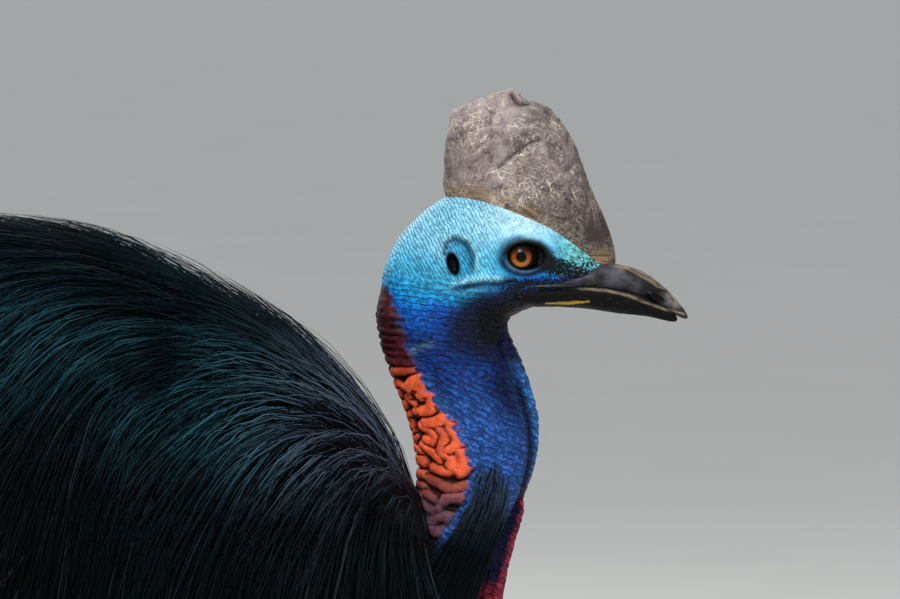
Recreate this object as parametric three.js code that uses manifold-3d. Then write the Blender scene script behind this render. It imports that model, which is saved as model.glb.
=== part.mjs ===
// A southern cassowary standing on both feet, at life size, as a museum model shows it.
// Millimetres. +X is the way the bird faces, +Y its left and +Z up; the floor is z = 0.

import * as THREE from "three";
import { mergeVertices } from "three/addons/utils/BufferGeometryUtils.js";
import Module from "manifold-3d";

const wasm = await Module();
wasm.setup();

// Driving dimensions.
const eyeForward = 400;
const eyeHeight = 985;
const eyeApart = 19;
const eyeRadius = 13.5;
const lidRadius = 10.8;
const seam = 0.3; // the gap between neighbouring pieces
const coatDepth = 26; // from the core of the body to the tips of its locks
const thighCoatDepth = 15;
// Locks: length, how far apart along and across their lie, and half their thickness.
const bodyLock = { length: 195, reach: 124, spacing: 68, thick: 6 };
const tailLock = { length: 235, reach: 110, spacing: 66, thick: 6 };
const thighLockThick = 4.5; // half of it, as in the locks above
const hipApart = 98;
const footApart = 108;
const rightFootForward = -117;
const leftFootForward = -31;
const ankleHeight = 335;
const ankleBehindFoot = 62;
const scuteCount = 7;
const scuteSize = 13; // half the length of one on the tarsus
const quillCount = 5;
const quillLength = 290;
const soleLift = 3; // how much of each toe's round is pressed flat on the floor

const X = new THREE.Vector3(1, 0, 0);
const Y = new THREE.Vector3(0, 1, 0);
const Z = new THREE.Vector3(0, 0, 1);

// The same draws every time.
let seed = 20251;
function vary(amount) {
  seed = (seed * 16807) % 2147483647;
  return 1 + amount * ((2 * seed) / 2147483647 - 1);
}

// Materials.
const paint = (color, roughness, metalness = 0) =>
  new THREE.MeshStandardMaterial({ color, roughness, metalness });
const paints = {
  headSkin: paint(0x58b8dc, 0.6),
  neckSkin: paint(0x2348a8, 0.6),
  wattleSkin: paint(0xa82c3c, 0.5),
  casqueHorn: paint(0x6a5a56, 0.55),
  billHorn: paint(0x2c2a2e, 0.35),
  eyeball: paint(0xb8641c, 0.1),
  coat: paint(0x0c1016, 0.5),
  quill: paint(0x141214, 0.35),
  legSkin: paint(0x6a6a52, 0.7),
  clawHorn: paint(0x2a2620, 0.4),
};

// A form is a smooth closed surface: ovals set along a curve. A station is
// [x, y, z, up, down, side]: its middle, and how far the oval reaches each way.
function form(stations, { up = Z, across = Y, ends = [0.08, 0.08], relief = null } = {}) {
  const middles = stations.map(([x, y, z]) => new THREE.Vector3(x, y, z));
  const reaches = stations.map(([, , , a, b, c]) => new THREE.Vector3(a, b, c));
  const middle = new THREE.CatmullRomCurve3(middles, false, "catmullrom");
  const reach = new THREE.CatmullRomCurve3(reaches, false, "catmullrom");
  const axes = typeof up === "function" ? up : () => [up, across];
  const rounded = (d, share) => (d < share ? Math.sqrt(1 - (1 - d / share) ** 2) : 1);

  function point(t, angle, out = 0) {
    const u = THREE.MathUtils.clamp(t, 0, 1);
    const size = reach.getPoint(u);
    const round = Math.min(rounded(u, ends[0]), rounded(1 - u, ends[1]));
    const raised = relief ? relief(u, angle) : 0;
    const [upward, sideways] = axes(u);
    const c = Math.cos(angle);
    const s = Math.sin(angle);
    const high = Math.max(0.2, c >= 0 ? size.x : size.y) + raised;
    const wide = Math.max(0.2, size.z) + raised;
    const p = middle.getPoint(u);
    p.addScaledVector(upward, high * c * round);
    p.addScaledVector(sideways, wide * s * round);
    return out ? p.addScaledVector(normal(u, angle), out) : p;
  }

  function normal(t, angle) {
    const step = 1e-3;
    const ring = point(t, angle + step).sub(point(t, angle - step));
    const run = point(Math.min(1, t + step), angle).sub(point(Math.max(0, t - step), angle));
    const n = ring.cross(run).normalize();
    const away = point(t, angle).sub(middle.getPoint(THREE.MathUtils.clamp(t, 0, 1)));
    return n.dot(away) < 0 ? n.negate() : n;
  }

  // The share of the length at which the middle passes a given x.
  function at(x) {
    let [low, high] = [0, 1];
    const rising = middle.getPoint(1).x > middle.getPoint(0).x;
    for (let i = 0; i < 30; i++) {
      const t = (low + high) / 2;
      if (middle.getPoint(t).x < x === rising) low = t;
      else high = t;
    }
    return (low + high) / 2;
  }

  return { middle, point, normal, at };
}

// Walks back over a lying form from x and an angle (0 the top, negative the right side). It heads
// dip(angle) radians below straight back and rises off the form by lift(share of the length).
// Where loose(x, angle) says so it leaves the form and hangs down more with every step.
function walk(shape, x, angle, length, { dip, lift, loose = () => false, steps = 5, droop = 0.45 }) {
  const side = Math.sign(angle) || 1;
  const stride = length / steps;
  const places = [];
  let turned = Math.abs(angle);
  let hanging = false;
  for (let i = 0; i <= steps; i++) {
    const last = places[places.length - 1];
    hanging ||= i > 1 && loose(x, turned);
    if (hanging) {
      const heading = last.heading.clone().addScaledVector(Z, -droop).normalize();
      places.push({ at: last.at.clone().addScaledVector(heading, stride), out: last.out, heading });
      continue;
    }
    const t = shape.at(x);
    const at = shape.point(t, side * turned, lift(i / steps));
    const heading = last ? at.clone().sub(last.at).normalize() : X.clone().negate();
    places.push({ at, out: shape.normal(t, side * turned), heading });
    const radius = at.distanceTo(shape.middle.getPoint(t));
    const slope = dip(turned);
    x -= Math.cos(slope) * stride;
    turned = Math.min(Math.PI - 0.04, turned + (Math.sin(slope) * stride) / radius);
  }
  return places;
}

// Places along a form at given shares of its length and angles round it, each raised off it.
function trace(shape, spots) {
  return spots.map(([t, angle, out]) => ({ at: shape.point(t, angle, out), out: shape.normal(t, angle) }));
}

// A tapered strand through places. For each of them the profile has half its width and half its
// thickness. Three sides give a flat lock with a ridge along it. A grown strand is wider and
// longer than it is thicker, so that its slanting faces and its thin ends clear the strand too.
function strand(places, profile, { sides = 3, steps = 5, out = 0, turn = 0 } = {}) {
  const stations = places.map(({ at }, i) => {
    const [wide, thick] = profile[i];
    const grown = thick + 2 * out;
    return [at.x, at.y, at.z, grown, grown, wide + out * (2 + (1.2 * wide) / thick)];
  });
  const spine = new THREE.CatmullRomCurve3(places.map((p) => p.at), false, "catmullrom");
  const outs = new THREE.CatmullRomCurve3(places.map((p) => p.out));
  const axes = (t) => {
    const tangent = spine.getTangent(t);
    const sideways = new THREE.Vector3().crossVectors(tangent, outs.getPoint(t)).normalize();
    return [new THREE.Vector3().crossVectors(sideways, tangent), sideways];
  };
  return solid(form(stations, { up: axes, ends: [0, 0] }), sides, steps, 0, { turn, reach: 12 * out });
}

// A lock of the coat: sunk at its root, widest a third of the way along, pointed at its tip.
function lock(places, halfWidth, halfThick, { out = 0, steps = 5 } = {}) {
  const widths = [0.7, 0.95, 1, 0.86, 0.56, 0.2];
  const thicks = [0.9, 1, 1, 0.85, 0.6, 0.25];
  return strand(places, widths.map((w, i) => [halfWidth * w, halfThick * thicks[i]]), { out, steps });
}

// The solid of a form: the rings of a sphere are moved onto the form's ovals, and grown by out
// round the sides and by reach at the ends.
function solid(shape, around, steps, out = 0, { turn = 0, reach = out } = {}) {
  const ball = new THREE.SphereGeometry(1, around, steps);
  const position = ball.getAttribute("position");
  const uv = ball.getAttribute("uv");
  for (let i = 0; i < position.count; i++) {
    const t = 1 - uv.getY(i);
    const pole = t < 1e-6 || t > 1 - 1e-6;
    const angle = 2 * Math.PI * (uv.getX(i) % 1) + turn;
    const p = pole ? shape.middle.getPoint(t) : shape.point(t, angle, out);
    if (pole) p.addScaledVector(shape.middle.getTangent(t), t < 0.5 ? -reach : reach);
    position.setXYZ(i, p.x, p.y, p.z);
  }
  return manifoldOf(ball);
}

function manifoldOf(geometry) {
  geometry.deleteAttribute("normal");
  geometry.deleteAttribute("uv");
  const merged = mergeVertices(geometry, 1e-4);
  const vertProperties = merged.getAttribute("position").array;
  const triVerts = new Uint32Array(merged.index.array);
  const build = () => new wasm.Manifold(new wasm.Mesh({ numProp: 3, vertProperties, triVerts }));
  const made = build();
  if (made.volume() > 0) return made;
  for (let i = 0; i < triVerts.length; i += 3) {
    [triVerts[i + 1], triVerts[i + 2]] = [triVerts[i + 2], triVerts[i + 1]];
  }
  return build();
}

function ball(x, y, z, rx, ry, rz, turn = 0, around = 10, steps = 7) {
  const geometry = new THREE.SphereGeometry(1, around, steps);
  const pose = new THREE.Matrix4().makeScale(rx, ry, rz);
  pose.premultiply(new THREE.Matrix4().makeRotationY(turn));
  pose.premultiply(new THREE.Matrix4().makeTranslation(x, y, z));
  return manifoldOf(geometry.applyMatrix4(pose));
}

const join = (...solids) => wasm.Manifold.union(solids.flat());

function largest(made) {
  const pieces = made.decompose();
  return pieces.reduce((a, b) => (b.volume() > a.volume() ? b : a));
}

// Keeps what lies on the side that the normal points to, half a seam off the plane.
function above(made, plane) {
  return made.trimByPlane(plane.normal.toArray(), -plane.constant + seam / 2);
}

function below(made, plane) {
  return above(made, plane.clone().negate());
}

const bird = new THREE.Group();
bird.name = "cassowary";

function add(name, made, material) {
  const mesh = largest(made).getMesh();
  const geometry = new THREE.BufferGeometry();
  geometry.setAttribute("position", new THREE.BufferAttribute(mesh.vertProperties, 3));
  geometry.setIndex(new THREE.BufferAttribute(mesh.triVerts, 1));
  geometry.computeVertexNormals();
  const piece = new THREE.Mesh(geometry, material);
  piece.name = name;
  bird.add(piece);
  return made;
}

// Stations given from the eye: x forward of it, then the heights of the top and the bottom.
function headStation([x, top, bottom, side]) {
  return [eyeForward + x, 0, eyeHeight + (top + bottom) / 2, (top - bottom) / 2, (top - bottom) / 2, side];
}

// Stations given from the eye: the height, then how far back and forward the piece reaches.
function neckStation([z, back, front, side]) {
  const reach = (front - back) / 2;
  return [eyeForward + (front + back) / 2, 0, eyeHeight + z, reach, reach, side];
}

const head = form(
  [
    [-104, -8, -36, 12],
    [-86, 20, -58, 28],
    [-60, 42, -62, 34],
    [-34, 50, -57, 35],
    [-8, 47, -48, 33],
    [18, 35, -39, 28],
    [40, 16, -33, 21],
    [58, 0, -28, 14],
    [68, -8, -22, 6],
  ].map(headStation),
  { ends: [0.1, 0.06] },
);

const neckStations = [
  [10, -80, -30, 22],
  [-20, -98, -22, 31],
  [-48, -104, -13, 33],
  [-72, -101, -3, 34],
  [-98, -92, 7, 34],
  [-128, -81, 13, 35],
  [-164, -75, 10, 37],
  [-198, -80, -3, 42],
  [-235, -96, -23, 55],
  [-275, -122, -39, 66],
  [-310, -150, -60, 60],
]; // [height from the eye, back, front, side]
const neck = form(neckStations.map(neckStation), { up: X, ends: [0.08, 0.08] });

const casque = form(
  [
    [-14, 40, 68, 8],
    [-6, 16, 72, 11],
    [10, -18, 69.5, 16],
    [28, -46, 63, 22],
    [46, -57, 55, 23],
    [62, -58.5, 48.5, 21],
    [83, -57.5, 40, 17],
    [99, -54, 31, 13],
    [110, -45, 19, 9],
    [118, -26, 4, 6],
    [124.5, -12, -4, 3],
  ].map(neckStation),
  { up: X, ends: [0.08, 0.04] },
);

const billUpper = form(
  [
    [-18, -21, -24, 29],
    [8, -20, -25, 26.5],
    [30, -18, -25.5, 22],
    [46, -13, -26, 18.5],
    [58, -6.5, -27, 16],
    [73, -8, -29, 13.5],
    [91, -13, -33, 10.5],
    [107, -24, -40, 7.5],
    [118, -35, -47, 4.5],
    [125, -45, -49, 2],
  ].map(headStation),
  { ends: [0.03, 0.05] },
);

const billLower = form(
  [
    [-15, -21, -35, 26],
    [8, -20, -40, 24],
    [30, -20, -40.5, 20],
    [50, -20, -40.5, 16],
    [74, -23, -43, 12],
    [96, -30, -48, 8],
    [112, -41, -52.5, 4],
    [118, -47, -52.5, 2],
  ].map(headStation),
  { ends: [0.04, 0.05] },
);

// The outline of the coat, as [x, top, bottom, side]; the core lies inside it by the coat's depth.
const coatOutline = [
  [356, 742, 690, 40],
  [332, 812, 632, 92],
  [286, 880, 568, 138],
  [200, 951, 520, 180],
  [80, 1007, 494, 203],
  [-60, 1018, 488, 208],
  [-180, 1004, 506, 196],
  [-290, 960, 540, 165],
  [-380, 884, 566, 118],
  [-440, 780, 590, 66],
  [-468, 690, 620, 26],
];

function coatForm(inset) {
  const stations = coatOutline.map(([x, top, bottom, side]) => {
    const half = (top - bottom) / 2;
    const inside = Math.min(inset, half * 0.6, side * 0.6);
    return [x, 0, (top + bottom) / 2, half - inside, half - inside, side - inside];
  });
  return form(stations, { ends: [0.06, 0.05] });
}

const coat = coatForm(0);
const core = coatForm(coatDepth);
const tailX = -235;
const tailPlane = new THREE.Plane(X.clone(), -tailX);
const neckBasePlane = new THREE.Plane().setFromNormalAndCoplanarPoint(
  new THREE.Vector3(0.32, 0, 0.95).normalize(),
  new THREE.Vector3(345, 0, 778),
);
const neckMiddlePlane = new THREE.Plane(Z.clone(), -(eyeHeight - 112));
const throatPlane = new THREE.Plane().setFromNormalAndCoplanarPoint(
  new THREE.Vector3(-0.12, 0, 0.99).normalize(),
  new THREE.Vector3(eyeForward - 12, 0, eyeHeight - 47),
);

// A wing: a small flat stump against the flank, with bare quills that curve down and back.
const stumpStations = [
  [175, 150, 850, 12, 12, 10],
  [150, 157, 838, 24, 24, 16],
  [95, 168, 815, 30, 30, 20],
  [40, 173, 790, 28, 28, 18],
  [5, 176, 772, 16, 18, 14],
];

function onWing({ at }) {
  return stumpStations.some(([x, y, z]) => Math.hypot(at.x - x, Math.abs(at.y) - y, at.z - z) < 34);
}

function wing(side, out) {
  const stations = stumpStations.map(([x, y, ...rest]) => [x, side * y, ...rest]);
  const pieces = [solid(form(stations, { ends: [0.1, 0.12] }), 8, 7, out)];
  for (let i = 0; i < quillCount; i++) {
    const share = i / (quillCount - 1);
    const length = quillLength * (1 - 0.25 * share);
    const places = walk(coat, 42 + 24 * share, side * (1.34 + 0.13 * share), length, {
      dip: (angle) => 0.55 + 0.4 * share + (angle - 1.5) * 0.5,
      lift: (along) => -22 + 30 * Math.sin((Math.PI / 2) * Math.min(1, along * 2)),
    });
    const profile = places.map((_, k) => Array(2).fill(3.1 - 1.9 * (k / 5)));
    pieces.push(strand(places, profile, { sides: 3, steps: 5, out }));
  }
  return join(pieces);
}

// The locks of the body lie back along the top, turn down over the flanks and hang off them.
const lockDip = (angle) => 1.15 * Math.sin(Math.min(angle, Math.PI)) ** 1.1;
const lockLift = (along) => -12 + (coatDepth + 12) * Math.sin((Math.PI / 2) * along) ** 0.8;

// Roots scattered over the core, no two nearer than a lock's reach along the lie or its
// spacing across it.
function scatterRoots({ from, to, widest, length, reach, spacing, tries }) {
  const roots = [];
  for (let i = 0; i < tries; i++) {
    const x = from + (to - from) * (vary(0.5) - 0.5);
    const angle = 2 * widest * (vary(0.5) - 1);
    const t = core.at(x);
    const at = core.point(t, angle);
    const round = core.point(t, angle + Math.sign(angle) * 0.02).sub(at).normalize();
    const back = core.point(core.at(x - 4), angle).sub(at).normalize();
    const slope = lockDip(Math.abs(angle));
    const lie = back.multiplyScalar(Math.cos(slope)).addScaledVector(round, Math.sin(slope)).normalize();
    const apart = (other) => {
      const gap = other.at.clone().sub(at);
      const along = gap.dot(lie);
      const across = Math.sqrt(Math.max(0, gap.lengthSq() - along * along));
      return Math.hypot(along / reach, across / spacing) > 1;
    };
    if (roots.every(apart)) {
      roots.push({ x, angle, at, length: length * vary(0.1), halfWidth: 0.62 * spacing * vary(0.08) });
    }
  }
  return roots;
}

const bodyLocks = scatterRoots({ from: 336, to: -212, widest: 3.12, tries: 3000, ...bodyLock });
const tailLocks = scatterRoots({ from: -250, to: -432, widest: 2.1, tries: 900, ...tailLock });

function lockPlaces({ x, angle, length }) {
  const start = Math.abs(angle);
  return walk(core, x, angle, length, {
    dip: lockDip,
    lift: lockLift,
    loose: (at, turned) => at < -372 || (start < 2 && turned > 2.05),
  });
}

function coatLocks(locks, { thick }, out) {
  return locks.map((spec) => lock(lockPlaces(spec), spec.halfWidth, thick, { out }));
}

// No lock is rooted on a wing's stump or where the neck rises.
const clearLocks = bodyLocks.filter((spec) => {
  const onNeck = spec.x > 285 && Math.abs(spec.angle) < 0.8;
  return !onNeck && !lockPlaces(spec).slice(0, 2).some(onWing);
});

// The nape's bare skin: how far round the neck it reaches on each side, in degrees from the front,
// at a height below the eye.
const napeEdge = [
  [27, 147],
  [48, 132],
  [82, 124],
  [108, 118],
  [131, 105],
  [158, 96],
  [187, 100],
  [205, 110],
];

function between(table, x) {
  const i = Math.max(1, table.findIndex(([at]) => at >= x));
  const [[x0, y0], [x1, y1]] = [table[i - 1], table[i]];
  return y0 + ((y1 - y0) * (x - x0)) / (x1 - x0);
}

// The share of the neck's length at a height below the eye.
const neckLevels = neckStations.map(([z], i) => [-z, i / (neckStations.length - 1)]);
const neckShare = (below) => between(neckLevels, below);

// Bands of folds round the nape: from and to in mm below the eye, their pitch, their half
// thickness and how far they wander up and down.
const foldBands = [
  { from: 30, to: 64, pitch: 11, thick: 4.5, wander: 0.8 },
  { from: 77, to: 146, pitch: 13.5, thick: 8, wander: 3.4 },
  { from: 158, to: 196, pitch: 12.6, thick: 7, wander: 1.6 },
];

function napeFolds() {
  const folds = [];
  for (const { from, to, pitch, thick, wander } of foldBands) {
    for (let level = from; level <= to; level += pitch) {
      const edge = THREE.MathUtils.degToRad(between(napeEdge, level));
      const spots = Array.from({ length: 7 }, (_, k) => {
        const angle = edge + ((2 * Math.PI - 2 * edge) * k) / 6;
        return [neckShare(level + wander * (vary(1) - 1)), angle, thick * 0.2];
      });
      const fat = [0.6, 0.9, 1, 0.8, 1, 0.9, 0.6];
      const profile = fat.map((f) => [thick * f, thick * f]);
      folds.push(strand(trace(neck, spots), profile, { sides: 4, steps: 6, turn: Math.PI / 4 }));
    }
  }
  return folds;
}

// Short feathers: a patch on each side of the lower neck, and a ruff where the neck meets the
// body. Each is rooted at a share of the neck's length and an angle from its front.
const neckPatch = {
  roots: [
    [0.555, 82],
    [0.605, 68],
    [0.615, 96],
    [0.67, 60],
    [0.68, 90],
  ],
  reach: 0.17,
  rise: 8,
  halfWidth: 13,
  thick: 3.2,
};
const ruff = {
  roots: [
    [0.735, 52],
    [0.73, 78],
    [0.735, 104],
    [0.74, 130],
    [0.74, 158],
  ],
  reach: 0.22,
  rise: 17,
  halfWidth: 24,
  thick: 5,
};

function neckLocks({ roots, reach, rise, halfWidth, thick }, out) {
  const locks = [];
  for (const side of [-1, 1]) {
    for (const [t, angle] of roots) {
      const spots = Array.from({ length: 6 }, (_, k) => {
        const turned = THREE.MathUtils.degToRad(angle + 2.5 * k);
        return [t + (reach * k) / 5, side * turned, -5 + (rise + 5) * Math.sin((Math.PI * k) / 10)];
      });
      locks.push(lock(trace(neck, spots), halfWidth, thick, { out, steps: 4 }));
    }
  }
  return locks;
}

const wings = [-1, 1].map((side) => ({ side, cutter: wing(side, seam) }));

function torsoSolid(out) {
  const front = solid(core, 20, 15, out).trimByPlane([1, 0, 0], tailX + seam / 2 - out);
  const neckRoot = below(neckWhole(out), neckBasePlane);
  const locks = [...coatLocks(clearLocks, bodyLock, out), ...neckLocks(ruff, out)];
  const whole = join(front, neckRoot, locks);
  return whole.subtract(join(wings.map(({ cutter }) => cutter)));
}

const headWhole = (out) => solid(head, 14, 12, out);
const neckWhole = (out) => solid(neck, 12, 16, out);
const torso = torsoSolid(0);
const torsoCutter = torsoSolid(seam);
add("torso", torso, paints.coat);

const tailCore = below(solid(core, 20, 15), tailPlane);
const tail = join(tailCore, coatLocks(tailLocks, tailLock, 0));
add("tail", below(tail, tailPlane).subtract(torsoCutter), paints.coat);

const coreCutter = solid(core, 20, 15, seam);
for (const { side } of wings) {
  add(side < 0 ? "wing_right" : "wing_left", wing(side, 0).subtract(coreCutter), paints.quill);
}

// Head, bill, casque and eyes.
const flesh = join(headWhole(0), neckWhole(0), napeFolds());
const headCutter = headWhole(seam);
const billUpperCutter = solid(billUpper, 12, 13, seam);
const billLowerCutter = solid(billLower, 10, 11, seam);

// What is cut from and raised on each side of the head: the socket and ring of lids round the
// eye, and the cup of the ear with its rim.
const fromEye = (x, side, y, z) => [eyeForward + x, side * y, eyeHeight + z];

function lidRing(side) {
  const ring = new THREE.TorusGeometry(lidRadius, 2.3, 4, 10);
  const pose = new THREE.Matrix4().makeTranslation(...fromEye(0, side, 29.5, 0));
  pose.multiply(new THREE.Matrix4().makeRotationX(Math.PI / 2));
  pose.multiply(new THREE.Matrix4().makeRotationY(0.12));
  pose.multiply(new THREE.Matrix4().makeScale(1.05, 0.94, 1));
  return manifoldOf(ring.applyMatrix4(pose));
}

function earRim(side) {
  const places = Array.from({ length: 7 }, (_, k) => {
    const turn = THREE.MathUtils.degToRad(-35 + 42 * k);
    const [x, z] = [-49 + 9.5 * Math.cos(turn), -4 + 14.5 * Math.sin(turn)];
    const y = 34 - 0.012 * (x + 40) ** 2 - 0.006 * z ** 2;
    return { at: new THREE.Vector3(...fromEye(x, side, y, z)), out: Y.clone().multiplyScalar(side) };
  });
  const fat = [0.5, 0.9, 1, 1, 1, 0.9, 0.5];
  return strand(places, fat.map((f) => [2.6 * f, 2.4 * f]), { sides: 4, steps: 7 });
}

let headSolid = above(flesh, throatPlane);
for (const side of [-1, 1]) {
  const socket = ball(...fromEye(0, side, 37, 0), 12.5, 9, 11.5, 0, 10, 6);
  const ear = ball(...fromEye(-50, side, 35, -5), 4.5, 9, 8.5, 0.25, 8, 6);
  headSolid = join(headSolid.subtract(socket), lidRing(side), earRim(side)).subtract(ear);
  const eyeball = (out) => ball(...fromEye(0, side, eyeApart, 0), ...Array(3).fill(eyeRadius + out));
  headSolid = headSolid.subtract(eyeball(seam));
  add(side < 0 ? "eye_right" : "eye_left", eyeball(0), paints.eyeball);
}
headSolid = headSolid.subtract(billUpperCutter).subtract(billLowerCutter);
add("head", headSolid, paints.headSkin);

// The bill's nostrils slant along its sides.
let billUpperSolid = solid(billUpper, 12, 13);
for (const side of [-1, 1]) {
  const nostril = ball(...fromEye(100, side, 9.5, -30), 6.5, 3, 2.2, 0.75, 8, 5);
  billUpperSolid = billUpperSolid.subtract(nostril);
}
add("bill_upper", billUpperSolid, paints.billHorn);
add("bill_lower", solid(billLower, 10, 11).subtract(billUpperCutter), paints.billHorn);
add("casque", solid(casque, 12, 12).subtract(headCutter).subtract(billUpperCutter), paints.casqueHorn);

add("neck_upper", above(below(flesh, throatPlane), neckMiddlePlane), paints.neckSkin);
const neckLowerFlesh = above(below(flesh, neckMiddlePlane), neckBasePlane);
const patchLocks = (out) => below(join(neckLocks(neckPatch, out)), neckMiddlePlane);
const neckLower = join(neckLowerFlesh, patchLocks(0)).subtract(torsoCutter);
add("neck_lower", neckLower, paints.neckSkin);

// Wattles: two lobes that hang from the front of the neck.
const fleshCutter = join(neckWhole(seam), patchLocks(seam), torsoCutter);
for (const side of [-1, 1]) {
  const lobe = form(
    [
      [399, 4 * side, 808, 4, 6, 4],
      [394, 8 * side, 790, 8, 8, 6],
      [386, 11 * side, 765, 9, 9, 7],
      [379, 13 * side, 735, 9, 9, 8],
      [376, 14 * side, 695, 11, 10, 9],
      [374, 15 * side, 655, 11, 11, 10],
      [373, 15 * side, 628, 7, 7, 7],
    ],
    { up: X, ends: [0.1, 0.12] },
  );
  add(side < 0 ? "wattle_right" : "wattle_left", solid(lobe, 9, 10).subtract(fleshCutter), paints.wattleSkin);
}

// A scute: a broad raised plate across the front or top of a form, higher at its lower edge.
function scute(shape, t, size) {
  const spots = [-58, -30, 0, 30, 58].map((angle) => [t, THREE.MathUtils.degToRad(angle), -0.6]);
  const profile = [0.7, 1, 1, 1, 0.7].map((f) => [scuteSize * size * f, 2.4 * f]);
  return strand(trace(shape, spots), profile, { steps: 4 });
}

// A leg: feathered thigh, bare shank and ankle, scaled tarsus, three toes and their claws.
function leg(name, side, footForward) {
  const footX = footForward;
  const ankleX = footX - ankleBehindFoot;
  const footY = side * footApart;
  const hipY = side * hipApart;
  const ankleY = side * (footApart - 6);
  const thighStations = [
    [ankleX * 0.2 + 70, hipY, 660, 96, 92, 62],
    [ankleX * 0.3 + 52, hipY, 570, 84, 80, 60],
    [ankleX * 0.6 + 34, (hipY + ankleY) / 2, 490, 60, 58, 47],
    [ankleX * 0.9 + 16, ankleY, 425, 38, 37, 35],
    [ankleX + 8, ankleY, 385, 31, 31, 30],
  ].map(([x, y, z, ...reach]) => [x, y, z, ...reach.map((r) => r - thighCoatDepth * Math.min(1, r / 60))]);
  const thighForm = form(thighStations, { up: X, ends: [0.1, 0.06] });
  const shankForm = form(
    [
      [ankleX + 14, ankleY, 420, 19, 19, 18],
      [ankleX + 5, ankleY, 380, 20, 20, 19],
      [ankleX, ankleY, 357, 25, 25, 24],
      [ankleX, ankleY, ankleHeight, 30, 29, 28],
      [ankleX + 5, ankleY, 312, 24, 24, 22],
    ],
    { up: X, ends: [0.06, 0.1] },
  );
  const tarsusForm = form(
    [
      [ankleX + 1, ankleY, 332, 29, 27, 27],
      [ankleX + 7, ankleY, 302, 24, 22, 22],
      [ankleX + 18, ankleY, 240, 20, 18, 18],
      [(ankleX + footX) / 2 + 10, (ankleY + footY) / 2, 160, 19, 17, 17],
      [footX - 12, footY, 90, 21, 18, 20],
      [footX - 2, footY, 50, 26, 22, 26],
      [footX, footY, 12, 25, 22, 26],
    ],
    { up: X, ends: [0.05, 0.1] },
  );
  const anklePlane = new THREE.Plane(Z.clone(), -322);
  const thigh = (out) => solid(thighForm, 10, 7, out);
  const shank = (out) => solid(shankForm, 8, 7, out);
  const tarsus = (out) => solid(tarsusForm, 8, 8, out);
  const thighLocks = [];
  for (const [tier, root] of [0.36, 0.6].entries()) {
    const count = 6 - tier;
    for (let i = 0; i < count; i++) {
      const angle = (2 * Math.PI * (i + (tier % 2) / 2)) / count;
      const spots = Array.from({ length: 6 }, (_, k) => {
        return [root + 0.068 * k, angle, -7 + (thighCoatDepth + 6) * Math.sin((Math.PI * k) / 10)];
      });
      const halfWidth = [31, 22][tier] * vary(0.08);
      thighLocks.push(lock(trace(thighForm, spots), halfWidth, thighLockThick, { steps: 4 }));
    }
  }
  const floor = new THREE.Plane(Z.clone(), 0);
  const onFloor = (made) => made.trimByPlane([0, 0, 1], 0);
  const shankBlank = above(shank(0), anklePlane).subtract(thigh(seam));
  add("shank_" + name, shankBlank, paints.legSkin);
  const shankBelow = shank(seam).subtract(thigh(0));
  const thighWhole = join(thigh(0), thighLocks).subtract(torsoCutter).subtract(shankBelow);
  add("thigh_" + name, thighWhole, paints.coat);
  const shares = Array.from({ length: scuteCount }, (_, i) => 0.1 + (0.8 * i) / scuteCount);
  const scutes = shares.map((t) => scute(tarsusForm, t, 1));
  add("tarsus_" + name, onFloor(below(join(tarsus(0), scutes), anklePlane)), paints.legSkin);

  const toes = [
    { toe: "middle", turn: 0, reach: 152, size: [18.5, 18], claw: [46, 9.5], plates: [0.34, 0.54, 0.74] },
    { toe: "outer", turn: 0.52, reach: 108, size: [16.5, 15.5], claw: [40, 8.5], plates: [0.45, 0.7] },
    { toe: "inner", turn: -0.46, reach: 74, size: [16.5, 15.5], claw: [105, 10.5], plates: [0.6] },
  ];
  const tarsusCutter = tarsus(seam);
  let toeCutter = tarsusCutter;
  for (const { toe, turn, reach, size: [high, wide], claw: [claw, clawHigh], plates } of toes) {
    const along = new THREE.Vector3(Math.cos(turn), side * Math.sin(turn), 0);
    const sideways = new THREE.Vector3(-along.y, along.x, 0);
    const lay = (d, z) => [footX + along.x * d, footY + along.y * d, z];
    const toeForm = form(
      [
        [...lay(0, high - soleLift + 6), high, high, wide],
        [...lay(reach * 0.25, high - soleLift), high * 0.92, high, wide * 0.9],
        [...lay(reach * 0.5, high - soleLift), high, high, wide],
        [...lay(reach * 0.75, high - soleLift - 2), high * 0.84, high, wide * 0.86],
        [...lay(reach * 0.92, high - soleLift - 3), high * 0.8, high * 0.9, wide * 0.85],
        [...lay(reach, high - soleLift - 4), high * 0.6, high * 0.7, wide * 0.6],
      ],
      { across: sideways, ends: [0.06, 0.1] },
    );
    const clawForm = form(
      [
        [...lay(reach - 14, high - 4), clawHigh, clawHigh, clawHigh * 0.9],
        [...lay(reach + claw * 0.2, high - 3), clawHigh, clawHigh, clawHigh * 0.85],
        [...lay(reach + claw * 0.6, high - 6), clawHigh * 0.62, clawHigh * 0.6, clawHigh * 0.5],
        [...lay(reach + claw, 3.2), 1.2, 1.2, 1.2],
      ],
      { across: sideways, ends: [0.06, 0.05] },
    );
    const toeSolid = join(solid(toeForm, 8, 7), plates.map((t) => scute(toeForm, t, 0.55)));
    const grown = solid(toeForm, 8, 7, seam);
    add(`toe_${toe}_${name}`, onFloor(toeSolid).subtract(toeCutter), paints.legSkin);
    add(`claw_${toe}_${name}`, onFloor(solid(clawForm, 8, 6)).subtract(grown), paints.clawHorn);
    toeCutter = join(toeCutter, grown);
  }
}

leg("right", -1, rightFootForward);
leg("left", 1, leftFootForward);

// The part's frame: the middle of the whole bird's outline on the floor.
const bounds = new THREE.Box3().setFromObject(bird);
const middle = bounds.getCenter(new THREE.Vector3());
bird.position.set(-middle.x, -middle.y, -bounds.min.z);

export default bird;
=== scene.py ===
# A southern cassowary at life size: skin, horn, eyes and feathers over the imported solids.
# Shapes are worked out in millimetres, with the right eye's middle 400 forward and 985 up, and
# put into the frame at the end.
import math

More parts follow.
